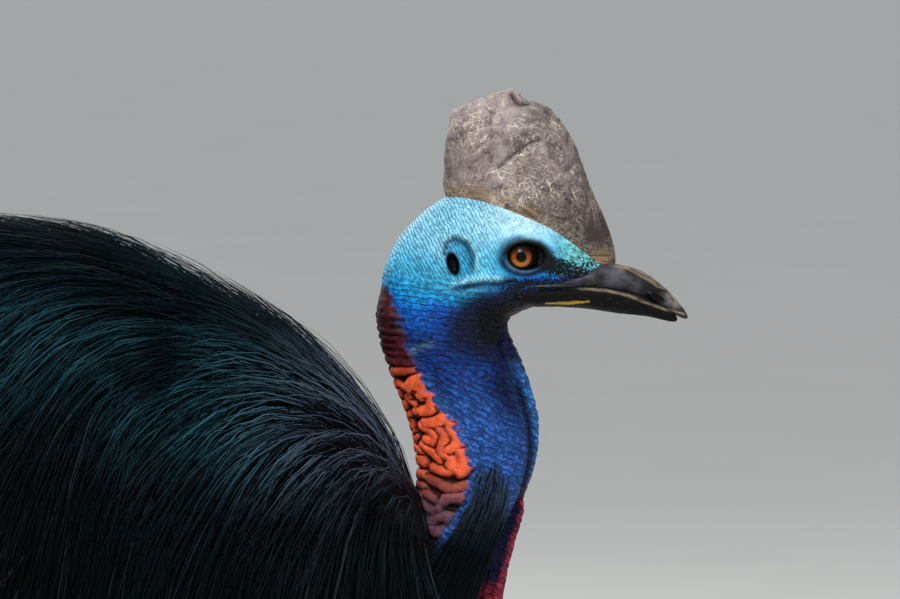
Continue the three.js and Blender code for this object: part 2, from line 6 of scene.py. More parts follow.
import bmesh
import bpy
import numpy as np
from mathutils import Matrix, Vector


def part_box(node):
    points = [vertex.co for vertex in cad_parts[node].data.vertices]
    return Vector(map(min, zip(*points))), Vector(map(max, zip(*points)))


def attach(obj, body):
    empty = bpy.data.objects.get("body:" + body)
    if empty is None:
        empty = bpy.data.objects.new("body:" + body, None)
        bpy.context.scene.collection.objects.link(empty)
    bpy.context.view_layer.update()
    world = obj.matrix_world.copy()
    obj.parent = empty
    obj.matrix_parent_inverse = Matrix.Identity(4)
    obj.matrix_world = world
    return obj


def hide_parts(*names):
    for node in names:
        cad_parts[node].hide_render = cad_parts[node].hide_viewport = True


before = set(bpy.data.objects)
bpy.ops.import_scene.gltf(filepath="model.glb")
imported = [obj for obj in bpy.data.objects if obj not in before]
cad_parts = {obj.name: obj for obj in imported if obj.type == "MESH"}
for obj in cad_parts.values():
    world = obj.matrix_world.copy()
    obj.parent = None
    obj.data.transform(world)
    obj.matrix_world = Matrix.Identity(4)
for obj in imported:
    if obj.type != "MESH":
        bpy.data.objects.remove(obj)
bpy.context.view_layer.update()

bird = {
    "eyeForward": 400.0,
    "eyeHeight": 985.0,
    "eyeApart": 19.0,
    "eyeRadius": 13.5,
    "coatDepth": 26.0,
    "thighCoatDepth": 15.0,
    "mmPerPixel": 0.75,  # of the photograph, at the eye
    "eyePixel": (521.0, 256.0),
}
eyeLow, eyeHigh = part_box("eye_right")
shift = np.array([(eyeLow.x + eyeHigh.x) * 500 - bird["eyeForward"], 0.0, 0.0])
draw = np.random.default_rng(20251)


# Camera and lights
camera = {
    "distance": 2.6,
    "width": 0.675,
    "centre": (346.75, -25.0, 952.4),
    "down": 5.6,  # degrees
    "sensor": 36.0,
}
lights = [
    {"name": "keyLight", "at": (-0.2, -2.0, 3.3), "aim": (0.2, 0, 0.8), "size": 1.5, "watts": 112},
    {"name": "fillLight", "at": (2.6, -2.0, 1.4), "aim": (0.2, 0, 0.8), "size": 2.4, "watts": 16},
    {"name": "rimLight", "at": (-1.2, 2.4, 2.6), "aim": (0.1, 0, 0.8), "size": 2.0, "watts": 70},
]


def toFrame(points):
    return (np.asarray(points, float) + shift) / 1000


def buildCamera():
    eye = bpy.data.objects.new("camera", bpy.data.cameras.new("camera"))
    bpy.context.scene.collection.objects.link(eye)
    bpy.context.scene.camera = eye
    eye.data.sensor_width = camera["sensor"]
    eye.data.clip_end = 1000
    eye.data.lens = camera["sensor"] * camera["distance"] / camera["width"]
    down = math.radians(camera["down"])
    away = Vector((0, -math.cos(down), math.sin(down)))
    eye.location = Vector(toFrame(camera["centre"])) + away * camera["distance"]
    eye.rotation_euler = (-away).to_track_quat("-Z", "Y").to_euler()


def buildLights():
    for spec in lights:
        lamp = bpy.data.lights.new(spec["name"], "AREA")
        lamp.shape = "DISK"
        lamp.size = spec["size"]
        lamp.energy = spec["watts"]
        lamp.color = (1.0, 0.985, 0.96)
        holder = bpy.data.objects.new(spec["name"], lamp)
        holder.location = spec["at"]
        aim = Vector(spec["aim"]) - Vector(spec["at"])
        holder.rotation_euler = aim.to_track_quat("-Z", "Y").to_euler()
        bpy.context.scene.collection.objects.link(holder)
    bpy.context.scene.view_settings.view_transform = "Standard"
    world = bpy.data.worlds.new("studio")
    bpy.context.scene.world = world
    world.use_nodes = True
    world.node_tree.nodes["Background"].inputs["Color"].default_value = (0.80, 0.83, 0.86, 1)
    world.node_tree.nodes["Background"].inputs["Strength"].default_value = 0.56


buildCamera()
buildLights()
print("camera and lights")


# Curves, masks and noise
def spline(values, t):
    values = np.asarray(values, float)
    spans = len(values) - 1
    padded = np.vstack([2 * values[0] - values[1], values, 2 * values[-1] - values[-2]])
    s = np.clip(t, 0, 1) * spans
    i = np.minimum(s.astype(int), spans - 1)
    w = (s - i)[:, None]
    p0, p1, p2, p3 = padded[i], padded[i + 1], padded[i + 2], padded[i + 3]
    v0, v1 = (p2 - p0) / 2, (p3 - p1) / 2
    return (2 * p1 - 2 * p2 + v0 + v1) * w**3 + (3 * p2 - 3 * p1 - 2 * v0 - v1) * w**2 + v0 * w + p1


def unit(vectors):
    return vectors / np.maximum(np.linalg.norm(vectors, axis=-1, keepdims=True), 1e-9)


def soft(low, high, value):
    s = np.clip((value - low) / (high - low), 0, 1)
    return s * s * (3 - 2 * s)


def hill(distance, width):
    return np.exp(-((distance / width) ** 2))


def lineDistance(u, w, line):
    nearest = np.full(len(u), 1e9)
    for (x0, y0), (x1, y1) in zip(line[:-1], line[1:]):
        dx, dy = x1 - x0, y1 - y0
        share = np.clip(((u - x0) * dx + (w - y0) * dy) / (dx * dx + dy * dy), 0, 1)
        nearest = np.minimum(nearest, np.hypot(u - x0 - share * dx, w - y0 - share * dy))
    return nearest


def fromPhoto(pixels):
    # millimetres forward of the eye and above it
    ex, ey = bird["eyePixel"]
    return [((x - ex) * bird["mmPerPixel"], (ey - y) * bird["mmPerPixel"]) for x, y in pixels]


def offEye(points):
    # forward of the eye and above it
    return points[:, 0] - bird["eyeForward"], points[:, 2] - bird["eyeHeight"]


def ripple(points, size, seed, waves=9):
    # smooth noise from -1 to 1, with features about this size
    dice = np.random.default_rng(seed)
    heading = unit(dice.normal(size=(waves, 3))) * (2 * math.pi / size)
    heading = heading * dice.uniform(0.6, 1.3, (waves, 1))
    phase = dice.uniform(0, 2 * math.pi, waves)
    return np.cos(points @ heading.T + phase).sum(axis=1) / math.sqrt(waves * 1.6)


def hue(code):
    channels = np.array([(code >> 16) & 255, (code >> 8) & 255, code & 255]) / 255
    return np.where(channels <= 0.04045, channels / 12.92, ((channels + 0.055) / 1.055) ** 2.4)


class Form:
    # Ovals set along a curve. A station is x, y, z of its middle, then how far it reaches up,
    # down and to each side.
    def __init__(self, stations, up=(0, 0, 1), across=(0, 1, 0), ends=(0.08, 0.08), outs=None):
        self.stations = np.asarray(stations, float)
        self.up, self.across, self.ends, self.outs = np.array(up), np.array(across), ends, outs

    def middle(self, t):
        return spline(self.stations[:, :3], t)

    def axes(self, t):
        if self.outs is None:
            return self.up[None, :], self.across[None, :]
        run = unit(self.middle(np.clip(t + 0.01, 0, 1)) - self.middle(np.clip(t - 0.01, 0, 1)))
        sideways = unit(np.cross(run, spline(self.outs, t)))
        return np.cross(sideways, run), sideways

    def point(self, t, angle, out=None):
        t, angle = np.broadcast_arrays(np.clip(np.asarray(t, float), 0, 1), np.asarray(angle, float))
        reach = np.maximum(spline(self.stations[:, 3:6], t), 0.2)
        rounding = np.ones_like(t)
        for distance, share in ((t, self.ends[0]), (1 - t, self.ends[1])):
            bend = np.sqrt(np.maximum(0, 1 - (1 - np.minimum(distance / share, 1)) ** 2))
            rounding = np.minimum(rounding, bend)
        upward, sideways = self.axes(t)
        c, s = np.cos(angle), np.sin(angle)
        high = np.where(c >= 0, reach[:, 0], reach[:, 1])
        made = self.middle(t) + upward * (high * c * rounding)[:, None]
        made = made + sideways * (reach[:, 2] * s * rounding)[:, None]
        if out is None:
            return made
        return made + self.normal(t, angle) * np.asarray(out)[..., None]

    def normal(self, t, angle):
        step = 1e-3
        ring = self.point(t, angle + step) - self.point(t, angle - step)
        run = self.point(np.minimum(1, t + step), angle) - self.point(np.maximum(0, t - step), angle)
        n = unit(np.cross(ring, run))
        away = self.point(t, angle) - self.middle(t)
        return np.where((n * away).sum(axis=1, keepdims=True) < 0, -n, n)

    def table(self, axis):
        t = np.linspace(0, 1, 400)
        values = self.middle(t)[:, axis]
        return (values, t) if values[-1] > values[0] else (values[::-1], t[::-1])

    def at(self, axis, value):
        values, t = self.table(axis)
        return np.interp(value, values, t)


def fromEye(rows):
    # stations of a piece that lies forward: x from the eye, then its top, bottom and half width
    ex, ez = bird["eyeForward"], bird["eyeHeight"]
    return [(ex + x, 0, ez + (a + b) / 2, (a - b) / 2, (a - b) / 2, side) for x, a, b, side in rows]


def standing(rows):
    # stations of a piece that stands up: height from the eye, its back and front, and half width
    ex, ez = bird["eyeForward"], bird["eyeHeight"]
    return [(ex + (a + b) / 2, 0, ez + z, (b - a) / 2, (b - a) / 2, side) for z, a, b, side in rows]


# Meshes
def loft(form, around, rings):
    bm = bmesh.new()
    bmesh.ops.create_uvsphere(bm, u_segments=around, v_segments=rings, radius=1)
    places = np.array([v.co[:] for v in bm.verts])
    t = np.arccos(np.clip(places[:, 2], -1, 1)) / math.pi
    angle = np.arctan2(places[:, 1], places[:, 0])
    moved = form.point(t, angle)
    pole = (t < 1e-4) | (t > 1 - 1e-4)
    moved[pole] = form.middle(t[pole])
    for vertex, place in zip(bm.verts, moved):
        vertex.co = place
    bmesh.ops.recalc_face_normals(bm, faces=bm.faces)
    return bm


def tube(points, outs, wide, thick, around=8, rings=12, ends=(0.12, 0.12)):
    stations = [(*p, h, h, w) for p, w, h in zip(points, wide, thick)]
    return loft(Form(stations, ends=ends, outs=np.asarray(outs, float)), around, rings)


def toMesh(name, pieces):
    joined = bmesh.new()
    for piece in pieces:
        if isinstance(piece, bmesh.types.BMesh):
            part = bpy.data.meshes.new("part")
            piece.to_mesh(part)
            piece.free()
            joined.from_mesh(part)
            bpy.data.meshes.remove(part)
        else:
            joined.from_mesh(piece)
    mesh = bpy.data.meshes.new(name)
    joined.to_mesh(mesh)
    joined.free()
    return mesh


def finished(mesh, kind, **settings):
    # the mesh that one modifier makes of this one
    holder = bpy.data.objects.new("holder", mesh)
    bpy.context.scene.collection.objects.link(holder)
    modifier = holder.modifiers.new("change", kind)
    for key, value in settings.items():
        setattr(modifier, key, value)
    graph = bpy.context.evaluated_depsgraph_get()
    made = bpy.data.meshes.new_from_object(holder.evaluated_get(graph))
    bpy.data.objects.remove(holder)
    return made


def remeshed(mesh, voxel):
    return finished(mesh, "REMESH", mode="VOXEL", voxel_size=voxel, use_smooth_shade=True)


def united(mesh, other):
    holder = bpy.data.objects.new("other", other)
    bpy.context.scene.collection.objects.link(holder)
    for solver in ("MANIFOLD", "EXACT"):
        made = finished(mesh, "BOOLEAN", object=holder, operation="UNION", solver=solver)
        if len(made.vertices) > max(len(mesh.vertices), len(other.vertices)) * 0.6:
            break
        print("union by", solver, "failed")
    bpy.data.objects.remove(holder)
    return made


def pointsOf(mesh):
    co = np.empty(len(mesh.vertices) * 3, np.float32)
    mesh.vertices.foreach_get("co", co)
    return co.reshape(-1, 3).astype(float)


def normalsOf(mesh):
    mesh.update()
    n = np.empty(len(mesh.vertices) * 3, np.float32)
    mesh.vertex_normals.foreach_get("vector", n)
    return n.reshape(-1, 3).astype(float)


def setPoints(mesh, points):
    mesh.vertices.foreach_set("co", np.asarray(points, np.float32).ravel())
    mesh.update()


def relax(mesh, passes, share=0.5):
    edges = np.empty(len(mesh.edges) * 2, np.int32)
    mesh.edges.foreach_get("vertices", edges)
    a, b = edges.reshape(-1, 2).T
    count = len(mesh.vertices)
    degree = np.bincount(a, minlength=count) + np.bincount(b, minlength=count)
    points = pointsOf(mesh)
    for _ in range(passes):
        total = np.empty_like(points)
        for axis in range(3):
            total[:, axis] = np.bincount(a, points[b, axis], count)
            total[:, axis] += np.bincount(b, points[a, axis], count)
        points += (total / np.maximum(degree, 1)[:, None] - points) * share
    setPoints(mesh, points)


def giveValues(mesh, name, values):
    layer = mesh.attributes.new(name, "FLOAT", "POINT")
    layer.data.foreach_set("value", np.asarray(values, np.float32).ravel())


def giveColour(mesh, name, colours):
    layer = mesh.attributes.new(name, "FLOAT_COLOR", "POINT")
    full = np.ones((len(colours), 4), np.float32)
    full[:, :3] = colours
    layer.data.foreach_set("color", full.ravel())


def place(name, mesh, material, slot, nodes=()):
    setPoints(mesh, toFrame(pointsOf(mesh)))
    mesh.name = name
    mesh.materials.clear()
    mesh.materials.append(material)
    mesh.polygons.foreach_set("use_smooth", np.ones(len(mesh.polygons), bool))
    piece = bpy.data.objects.new(name, mesh)
    bpy.context.scene.collection.objects.link(piece)
    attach(piece, "root")
    if nodes:
        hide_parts(*nodes)


# Shader nodes
def put(tree, kind, inputs=None, **settings):
    node = tree.nodes.new("ShaderNode" + kind)
    for key, value in settings.items():
        setattr(node, key, value)
    for key, value in (inputs or {}).items():
        socket = node.inputs[key]
        if isinstance(value, bpy.types.NodeSocket):
            tree.links.new(value, socket)
        elif isinstance(value, np.ndarray) or (isinstance(value, tuple) and socket.type == "RGBA"):
            socket.default_value = (*value[:3], 1)
        else:
            socket.default_value = value
    return node


def sums(tree, operation, a, b=0.0, c=0.0):
    return put(tree, "Math", {0: a, 1: b, 2: c}, operation=operation).outputs[0]


def blendOf(tree, share, a, b, mode="MIX"):
    inputs = {0: share, 6: a, 7: b}
    return put(tree, "Mix", inputs, data_type="RGBA", blend_type=mode).outputs[2]


def shaded(tree, colour, share):
    # the colour times one value
    grey = put(tree, "CombineColor", {0: share, 1: share, 2: share}).outputs[0]
    return blendOf(tree, 1.0, colour, grey, "MULTIPLY")


def between(tree, value, low, high, least=0.0, most=1.0):
    inputs = {0: value, 1: low, 2: high, 3: least, 4: most}
    return put(tree, "MapRange", inputs, interpolation_type="SMOOTHSTEP").outputs[0]


def noiseOf(tree, coordinates, scale, detail=3.0, roughness=0.55, distortion=0.0):
    inputs = {"Vector": coordinates, "Scale": scale, "Detail": detail, "Roughness": roughness}
    inputs["Distortion"] = distortion
    return put(tree, "TexNoise", inputs).outputs[0]


def attribute(tree, name, kind="Fac"):
    return put(tree, "Attribute", attribute_name=name).outputs[kind]


def newMaterial(name):
    material = bpy.data.materials.new(name)
    material.use_nodes = True
    tree = material.node_tree
    return material, tree, tree.nodes["Principled BSDF"]


def bumped(tree, principled, height, distance):
    node = put(tree, "Bump", {"Height": height, "Distance": distance, "Strength": 1.0})
    tree.links.new(node.outputs[0], principled.inputs["Normal"])


def newGroup(name, inputs, outputs):
    group = bpy.data.node_groups.new(name, "ShaderNodeTree")
    for title, kind, value in inputs:
        socket = group.interface.new_socket(name=title, in_out="INPUT", socket_type="NodeSocket" + kind)
        if value is not None:
            socket.default_value = value
    for title, kind in outputs:
        group.interface.new_socket(name=title, in_out="OUTPUT", socket_type="NodeSocket" + kind)
    return group, group.nodes.new("NodeGroupInput"), group.nodes.new("NodeGroupOutput")


def creaseGroup():
    # Fine creases along the lines where Level is the same: narrow valleys between rounded ribs
    # that wander and break off.
    inputs = [("Level", "Float", 0.0), ("Pitch", "Float", 2.6)]
    inputs += [("Wander", "Float", 1.6), ("Fine", "Float", 0.45)]
    group, start, end = newGroup("skinCreases", inputs, [("Height", "Float")])
    where = put(group, "TexCoord").outputs["Object"]
    drift = noiseOf(group, where, 95.0, 2.0)
    fine = noiseOf(group, where, 420.0, 2.0)
    wobble = sums(group, "MULTIPLY_ADD", fine, start.outputs["Fine"], drift)
    reach = sums(group, "MULTIPLY", start.outputs["Wander"], 3.2)
    moved = sums(group, "MULTIPLY_ADD", wobble, reach, start.outputs["Level"])
    turns = sums(group, "MULTIPLY", sums(group, "DIVIDE", moved, start.outputs["Pitch"]), math.pi)
    rib = sums(group, "POWER", sums(group, "ABSOLUTE", sums(group, "SINE", turns)), 0.55)
    broken = between(group, noiseOf(group, where, 260.0, 1.0), 0.3, 0.62, 0.45, 1.0)
    group.links.new(sums(group, "MULTIPLY", rib, broken), end.inputs["Height"])
    return group


def speckleGroup():
    # Where Cover is more than a fine noise there is a speck; Cover 1 is solid.
    inputs = [("Cover", "Float", 0.0), ("Scale", "Float", 400.0), ("Edge", "Float", 0.08)]
    group, start, end = newGroup("speckles", inputs, [("Mask", "Float")])
    where = put(group, "TexCoord").outputs["Object"]
    grain = noiseOf(group, where, start.outputs["Scale"], 3.0, 0.6)
    spread = between(group, grain, 0.25, 0.75)
    gap = sums(group, "SUBTRACT", start.outputs["Cover"], spread)
    low = sums(group, "MULTIPLY", start.outputs["Edge"], -1.0)
    group.links.new(between(group, gap, low, start.outputs["Edge"]), end.inputs["Mask"])
    return group


creases = creaseGroup()
speckles = speckleGroup()


def useGroup(tree, group, output, **inputs):
    node = put(tree, "Group", node_tree=group)
    for key, value in inputs.items():
        if isinstance(value, bpy.types.NodeSocket):
            tree.links.new(value, node.inputs[key])
        else:
            node.inputs[key].default_value = value
    return node.outputs[output]


# Forms of the head and neck, as in the solids
head = Form(
    fromEye(
        [
            (-104, -8, -36, 12),
            (-86, 20, -58, 28),
            (-60, 42, -62, 34),
            (-34, 50, -57, 35),
            (-8, 47, -48, 33),
            (18, 35, -39, 28),
            (40, 16, -33, 21),
            (58, 0, -28, 14),
            (68, -8, -22, 6),
        ]
    ),
    ends=(0.1, 0.06),
)
neckRows = [
    (10, -80, -30, 22),
    (-20, -98, -22, 31),
    (-48, -104, -13, 33),
    (-72, -101, -3, 34),
    (-98, -92, 7, 34),
    (-128, -81, 13, 35),
    (-164, -75, 10, 37),
    (-198, -80, -3, 42),
    (-235, -96, -23, 55),
    (-275, -122, -39, 66),
    (-310, -150, -60, 60),
]
neck = Form(standing(neckRows), up=(1, 0, 0), ends=(0.08, 0.08))
neckDepths = [-row[0] for row in neckRows]


def neckShare(depth):
    return np.interp(depth, neckDepths, np.linspace(0, 1, len(neckRows)))


coatRows = [
    (356, 742, 690, 40),
    (332, 812, 632, 92),
    (286, 880, 568, 138),
    (200, 951, 520, 180),
    (80, 1007, 494, 203),
    (-60, 1018, 488, 208),
    (-180, 1004, 506, 196),
    (-290, 960, 540, 165),
    (-380, 884, 566, 118),
    (-440, 780, 590, 66),
    (-468, 690, 620, 26),
]


def coatForm(inset):
    stations = []
    for x, top, bottom, side in coatRows:
        half = (top - bottom) / 2
        inside = min(inset, half * 0.6, side * 0.6)
        stations.append((x, 0, (top + bottom) / 2, half - inside, half - inside, side - inside))
    return Form(stations, ends=(0.06, 0.05))


coat = coatForm(0)
core = coatForm(bird["coatDepth"])

# The nape's bare patch: how far round the neck it reaches, in degrees from the front, by depth
# below the eye.
napeDepths = (27, 48, 82, 108, 131, 158, 187, 205)
napeAngles = (147, 132, 124, 118, 105, 96, 100, 110)

# Folds of the nape on the near side, traced along their middles in pixels of the photograph,
# each with half its thickness in millimetres.
napeFolds = [
    (3.3, [(394.4, 375.6), (410.7, 370.5), (421.9, 367.5)]),
    (4.6, [(410.7, 389.8), (417.8, 381.7), (425.9, 377.6), (430, 382.7), (423.3, 392.9)]),
    (4.2, [(421.9, 395.9), (431, 391.9), (434.7, 400), (431, 410.2), (418.8, 413.2)]),
    (4.8, [(438.1, 401), (446.3, 407.1), (450.3, 415.3), (440.2, 422.4), (428, 424.8)]),
    (3.9, [(423.9, 427.5), (431, 430.5), (437.1, 436.6), (435.1, 442.7), (428, 441.7)]),
    (4.1, [(441.2, 428.5), (446.9, 435.6), (444.2, 444.8), (442.8, 452.9), (448.3, 457)]),
    (4.3, [(450.3, 422.4), (453, 430.5), (459.5, 438.7), (456.5, 446.8), (449.7, 449.9)]),
    (3.7, [(423.9, 447.8), (433.1, 452.9), (441.2, 460)]),
    (4.4, [(451.4, 459), (453.4, 468.2), (460.5, 471.2), (466, 464.1), (465.2, 454.9), (459.1, 449.9)]),
    (3.6, [(435.1, 469.2), (446.3, 472.2), (457.5, 471.2)]),
    (3.1, [(408.6, 400), (416.8, 406.1), (420, 414)]),
    (3.1, [(400.5, 385.8), (408.6, 390.9), (412, 399)]),
    (3.0, [(412, 420), (417, 430), (416, 440)]),
    (3.4, [(428, 480.4), (439.2, 484.4), (451.4, 488.5), (467.6, 484.4)]),
    (3.3, [(425.9, 495.6), (433.1, 499.7), (440.2, 502.7)]),
    (4.2, [(443.2, 502.7), (450.3, 497.6), (463.6, 497.2)]),
    (4.0, [(415.8, 496.6), (423.9, 505.8), (433.1, 510.9), (440.2, 508.8)]),
    (3.8, [(408.6, 505.8), (418.8, 514.9), (431, 522.1)]),
    (4.1, [(434.7, 520), (442.2, 516), (451.8, 517)]),
    (4.1, [(427, 525.1), (437.1, 530.6), (447.7, 528.6)]),
    (3.6, [(403.6, 513.9), (411.7, 525.1), (421.9, 533.3)]),
]
# Rings of folds behind and above them: from and to in depth below the eye, pitch, half
# thickness, wander up and down, and how far past the patch's edge they start, in degrees.
foldRings = [
    {"from": 29, "to": 84, "pitch": 5.6, "thick": 2.9, "wander": 1.0, "inside": 2},
    {"from": 90, "to": 160, "pitch": 8.2, "thick": 3.8, "wander": 2.0, "inside": 58},
    {"from": 168, "to": 214, "pitch": 8.0, "thick": 3.6, "wander": 1.4, "inside": 56},
]


def foldCourses():
    # depth below the eye and angle from the neck's front along each fold, and its half thickness
    courses = []
    for band in foldRings:
        for depth in np.arange(band["from"], band["to"], band["pitch"]):
            edge = math.radians(np.interp(depth, napeDepths, napeAngles) + band["inside"])
            angles = np.linspace(edge, 2 * math.pi - edge, 14)
            wander = draw.uniform(-1, 1, 14) * band["wander"]
            thick = band["thick"] * draw.uniform(0.85, 1.15)
            courses.append((list(zip(depth + wander, angles)), thick))
    for thick, pixels in napeFolds:
        spots = []
        for x, z in fromPhoto(pixels):
            t = neckShare(np.array([-z]))
            middle = neck.middle(t)[0, 0] - bird["eyeForward"]
            reach = neck.point(t, np.array([math.pi]))[0, 0] - bird["eyeForward"] - middle
            spots.append((-z, min(math.acos(np.clip((middle - x) / reach, -1, 1)), math.radians(176))))
        for side in (-1, 1):
            courses.append(([(depth, side * angle) for depth, angle in spots], thick))
    return [(spline(spots, np.linspace(0, 1, 6 * len(spots))), thick) for spots, thick in courses]


def foldField(points):
    # how high the folds rise here, and how near the valley between two of them is: 1 in it
    depth = bird["eyeHeight"] - points[:, 2]
    angle, height = neckPlace(points)
    near = np.flatnonzero((depth > 18) & (depth < 224) & (angle > 1.4) & (height < 17))
    near = near[np.argsort(depth[near])]
    sortedDepth, turned = depth[near], (angle * np.sign(points[:, 1]))[near]
    first, second, size = np.full(len(near), 9.0), np.full(len(near), 9.0), np.ones(len(near))
    for spots, thick in foldLines:
        low, high = np.searchsorted(sortedDepth, [spots[:, 0].min() - 14, spots[:, 0].max() + 14])
        away = np.full(high - low, 9.0)
        for spotDepth, spotAngle in spots:
            turn = (turned[low:high] - spotAngle + math.pi) % (2 * math.pi) - math.pi
            away = np.minimum(away, np.hypot(sortedDepth[low:high] - spotDepth, turn * 38.0) / thick)
        nearer = away < first[low:high]
        second[low:high] = np.minimum(second[low:high], np.maximum(first[low:high], away))
        size[low:high] = np.where(nearer, thick, size[low:high])
        first[low:high] = np.where(nearer, away, first[low:high])
    rise = size * np.sqrt(np.maximum(1 - (first / 1.3) ** 2, 0))
    valley = soft(1.9, 0.3, (second - first) * size) * soft(0.35, 0.7, first)
    valley = np.maximum(valley, soft(1.1, 1.3, first))
    raised, deep = np.zeros(len(points)), np.zeros(len(points))
    raised[near], deep[near] = rise, valley
    return raised, deep


def napePatch(points):
    # the share of the bare patch, and the distance past its edge
    depth = bird["eyeHeight"] - points[:, 2]
    angle, height = neckPlace(points)
    edge = np.radians(np.interp(depth, napeDepths, napeAngles)) + 0.05 * ripple(points, 9, 14)
    past = (angle - edge) * 40
    share = soft(-0.8, 1.4, past) * soft(20, 27, depth) * soft(218, 210, depth) * soft(17, 12, height)
    return share, past


# The wattles: two lobes that hang from the front of the neck.
wattleRows = [
    (399, 4, 808, 4, 6, 4),
    (394, 8, 790, 8, 8, 6),
    (386, 11, 765, 9, 9, 7),
    (379, 13, 735, 9, 9, 8),
    (376, 14, 695, 11, 10, 9),
    (374, 15, 655, 11, 11, 10),
    (373, 15, 628, 7, 7, 7),
]


def wattle(side):
    return Form([(x, side * y, *rest) for x, y, *rest in wattleRows], up=(1, 0, 0), ends=(0.1, 0.12))


# Lines and spots of the face, in pixels of the photograph
face = {
    "cheekRidge": [(447, 288), (455, 282.5), (468, 279.5), (483, 277), (500, 278)],
    "cheekGroove": [(449, 292), (457, 287.5), (468, 285), (485, 283), (504, 283)],
    "earGroove": [(443.5, 252), (447, 242), (456, 237.5), (466, 243), (472.5, 255), (472.5, 267)],
    "earRim": [(439.5, 254), (443.5, 240), (455, 232.5), (469, 239), (477, 254), (476.5, 269)],
    "browRidge": [(503, 240), (512, 231), (527, 227.5), (543, 232), (554, 244)],
    "throatGroove": [
        (503, 345),
        (514, 372),
        (522, 398),
        (529, 425),
        (531.5, 450),
        (529, 472),
        (523, 497),
        (515, 523),
        (507, 548),
        (499, 572),
        (490, 600),
    ],
    "throatFold": [
        (510, 345),
        (521, 371),
        (530, 398),
        (536, 425),
        (538, 450),
        (535.5, 473),
        (529, 499),
        (521, 526),
        (513, 551),
        (505, 576),
        (497, 604),
    ],
    "earCup": {"at": (-46, -3), "size": (11, 16.5), "deep": 2.2},
    "earHole": {"at": (-51, -5.5), "size": (4.6, 8.8), "lean": 0.28, "deep": 8.0},
}


def ovalDistance(u, w, at, size, lean=0.0):
    du, dw = u - at[0], w - at[1]
    turned = (du * math.cos(lean) + dw * math.sin(lean), dw * math.cos(lean) - du * math.sin(lean))
    return np.hypot(turned[0] / size[0], turned[1] / size[1])


# The lids in section: how far out from their opening, 1 at its edge, and how far to the side
lidRows = [(0.95, 28.4), (1.05, 30.4), (1.15, 31.5), (1.3, 31.3), (1.5, 30.3), (1.8, 31.6), (2.2, 32.2)]


def eyeOval(u, w):
    # 1 along the edge of the lids' opening, which is longer towards the bill
    return np.hypot((u - 3) / np.where(u < 3, 13.0, 14.6), w / 9.9)


def sculptFace(mesh):
    points = pointsOf(mesh)
    normals = normalsOf(mesh)
    u, w = offEye(points)
    facing = soft(0.12, 0.5, np.abs(normals[:, 1]))
    lines = {key: line for key, line in face.items() if isinstance(line, list)}
    near = {key: lineDistance(u, w, fromPhoto(line)) for key, line in lines.items()}
    push = 3.0 * hill(near["cheekRidge"], 3.4) - 2.2 * hill(near["cheekGroove"], 2.2)
    push *= soft(-60, -44, u)
    push += 1.8 * hill(near["earRim"], 3.0) - 2.8 * hill(near["earGroove"], 2.3)
    push += 1.2 * hill(near["browRidge"], 3.4)
    push += 2.4 * hill(near["throatFold"], 4.0) - 3.8 * hill(near["throatGroove"], 2.8)
    cup = face["earCup"]
    push -= cup["deep"] * soft(1.05, 0.7, ovalDistance(u, w, cup["at"], cup["size"]))
    hole = face["earHole"]
    inHole = ovalDistance(u, w, hole["at"], hole["size"], hole["lean"])
    push -= 1.6 * hill(np.hypot(u - 38, (w + 10) * 1.6), 16)  # a hollow before the eye
    push += 0.9 * ripple(points, 22, 3) * soft(-10, -60, w) * 0.4
    points += normals * (push * facing)[:, None]
    # the back of the head and the front of the neck stand out a little
    throat = 2.2 * hill(w + 140, 48) * soft(-16, 2, u)
    points[:, 0] += throat - 3.6 * hill(w + 34, 44) * soft(-70, -98, u)
    points[:, 1] -= np.sign(points[:, 1]) * hole["deep"] * soft(1.15, 0.55, inHole) * facing

    # The lids stand round the eyeball, and inside their opening the skin dips under it.
    r, oval = np.hypot(u, w), eyeOval(u, w)
    ball = bird["eyeApart"] + np.sqrt(np.maximum(bird["eyeRadius"] ** 2 - r**2, 0))
    under = soft(11.2, 13.4, r)
    inner = (ball - 4) * (1 - under) + (26.6 - 0.1 * u) * under
    steps, sides = zip(*lidRows)
    outer = np.interp(oval, steps, sides)
    outer += 1.1 * hill(oval - 1.14, 0.14) * soft(-2, 5, w) - 0.12 * u * soft(1.0, 1.7, oval)
    rim = soft(0.93, 1.0, oval)
    held = inner * (1 - rim) + outer * rim
    share = soft(2.2, 1.5, oval) * (np.abs(points[:, 1]) > 8)
    points[:, 1] = np.sign(points[:, 1]) * (np.abs(points[:, 1]) * (1 - share) + held * share)
    setPoints(mesh, points)


def creaseLevels(u, w):
    # three families of creases: on the crown and nape, round the upper neck, and down the neck
    return {
        "crown": u * math.sin(1.05) + w * math.cos(1.05),
        "collar": u * math.sin(0.1) + w * math.cos(0.1),
        "neck": u * math.sin(0.5) + w * math.cos(0.5),
    }


def creaseShares(u, w):
    crown = soft(-40, -15, w + 0.15 * u) * soft(46, 20, u)
    lower = soft(-72, -100, w)
    collar = np.clip(1 - crown - lower, 0, 1)
    return {"crown": crown, "collar": collar, "neck": lower}


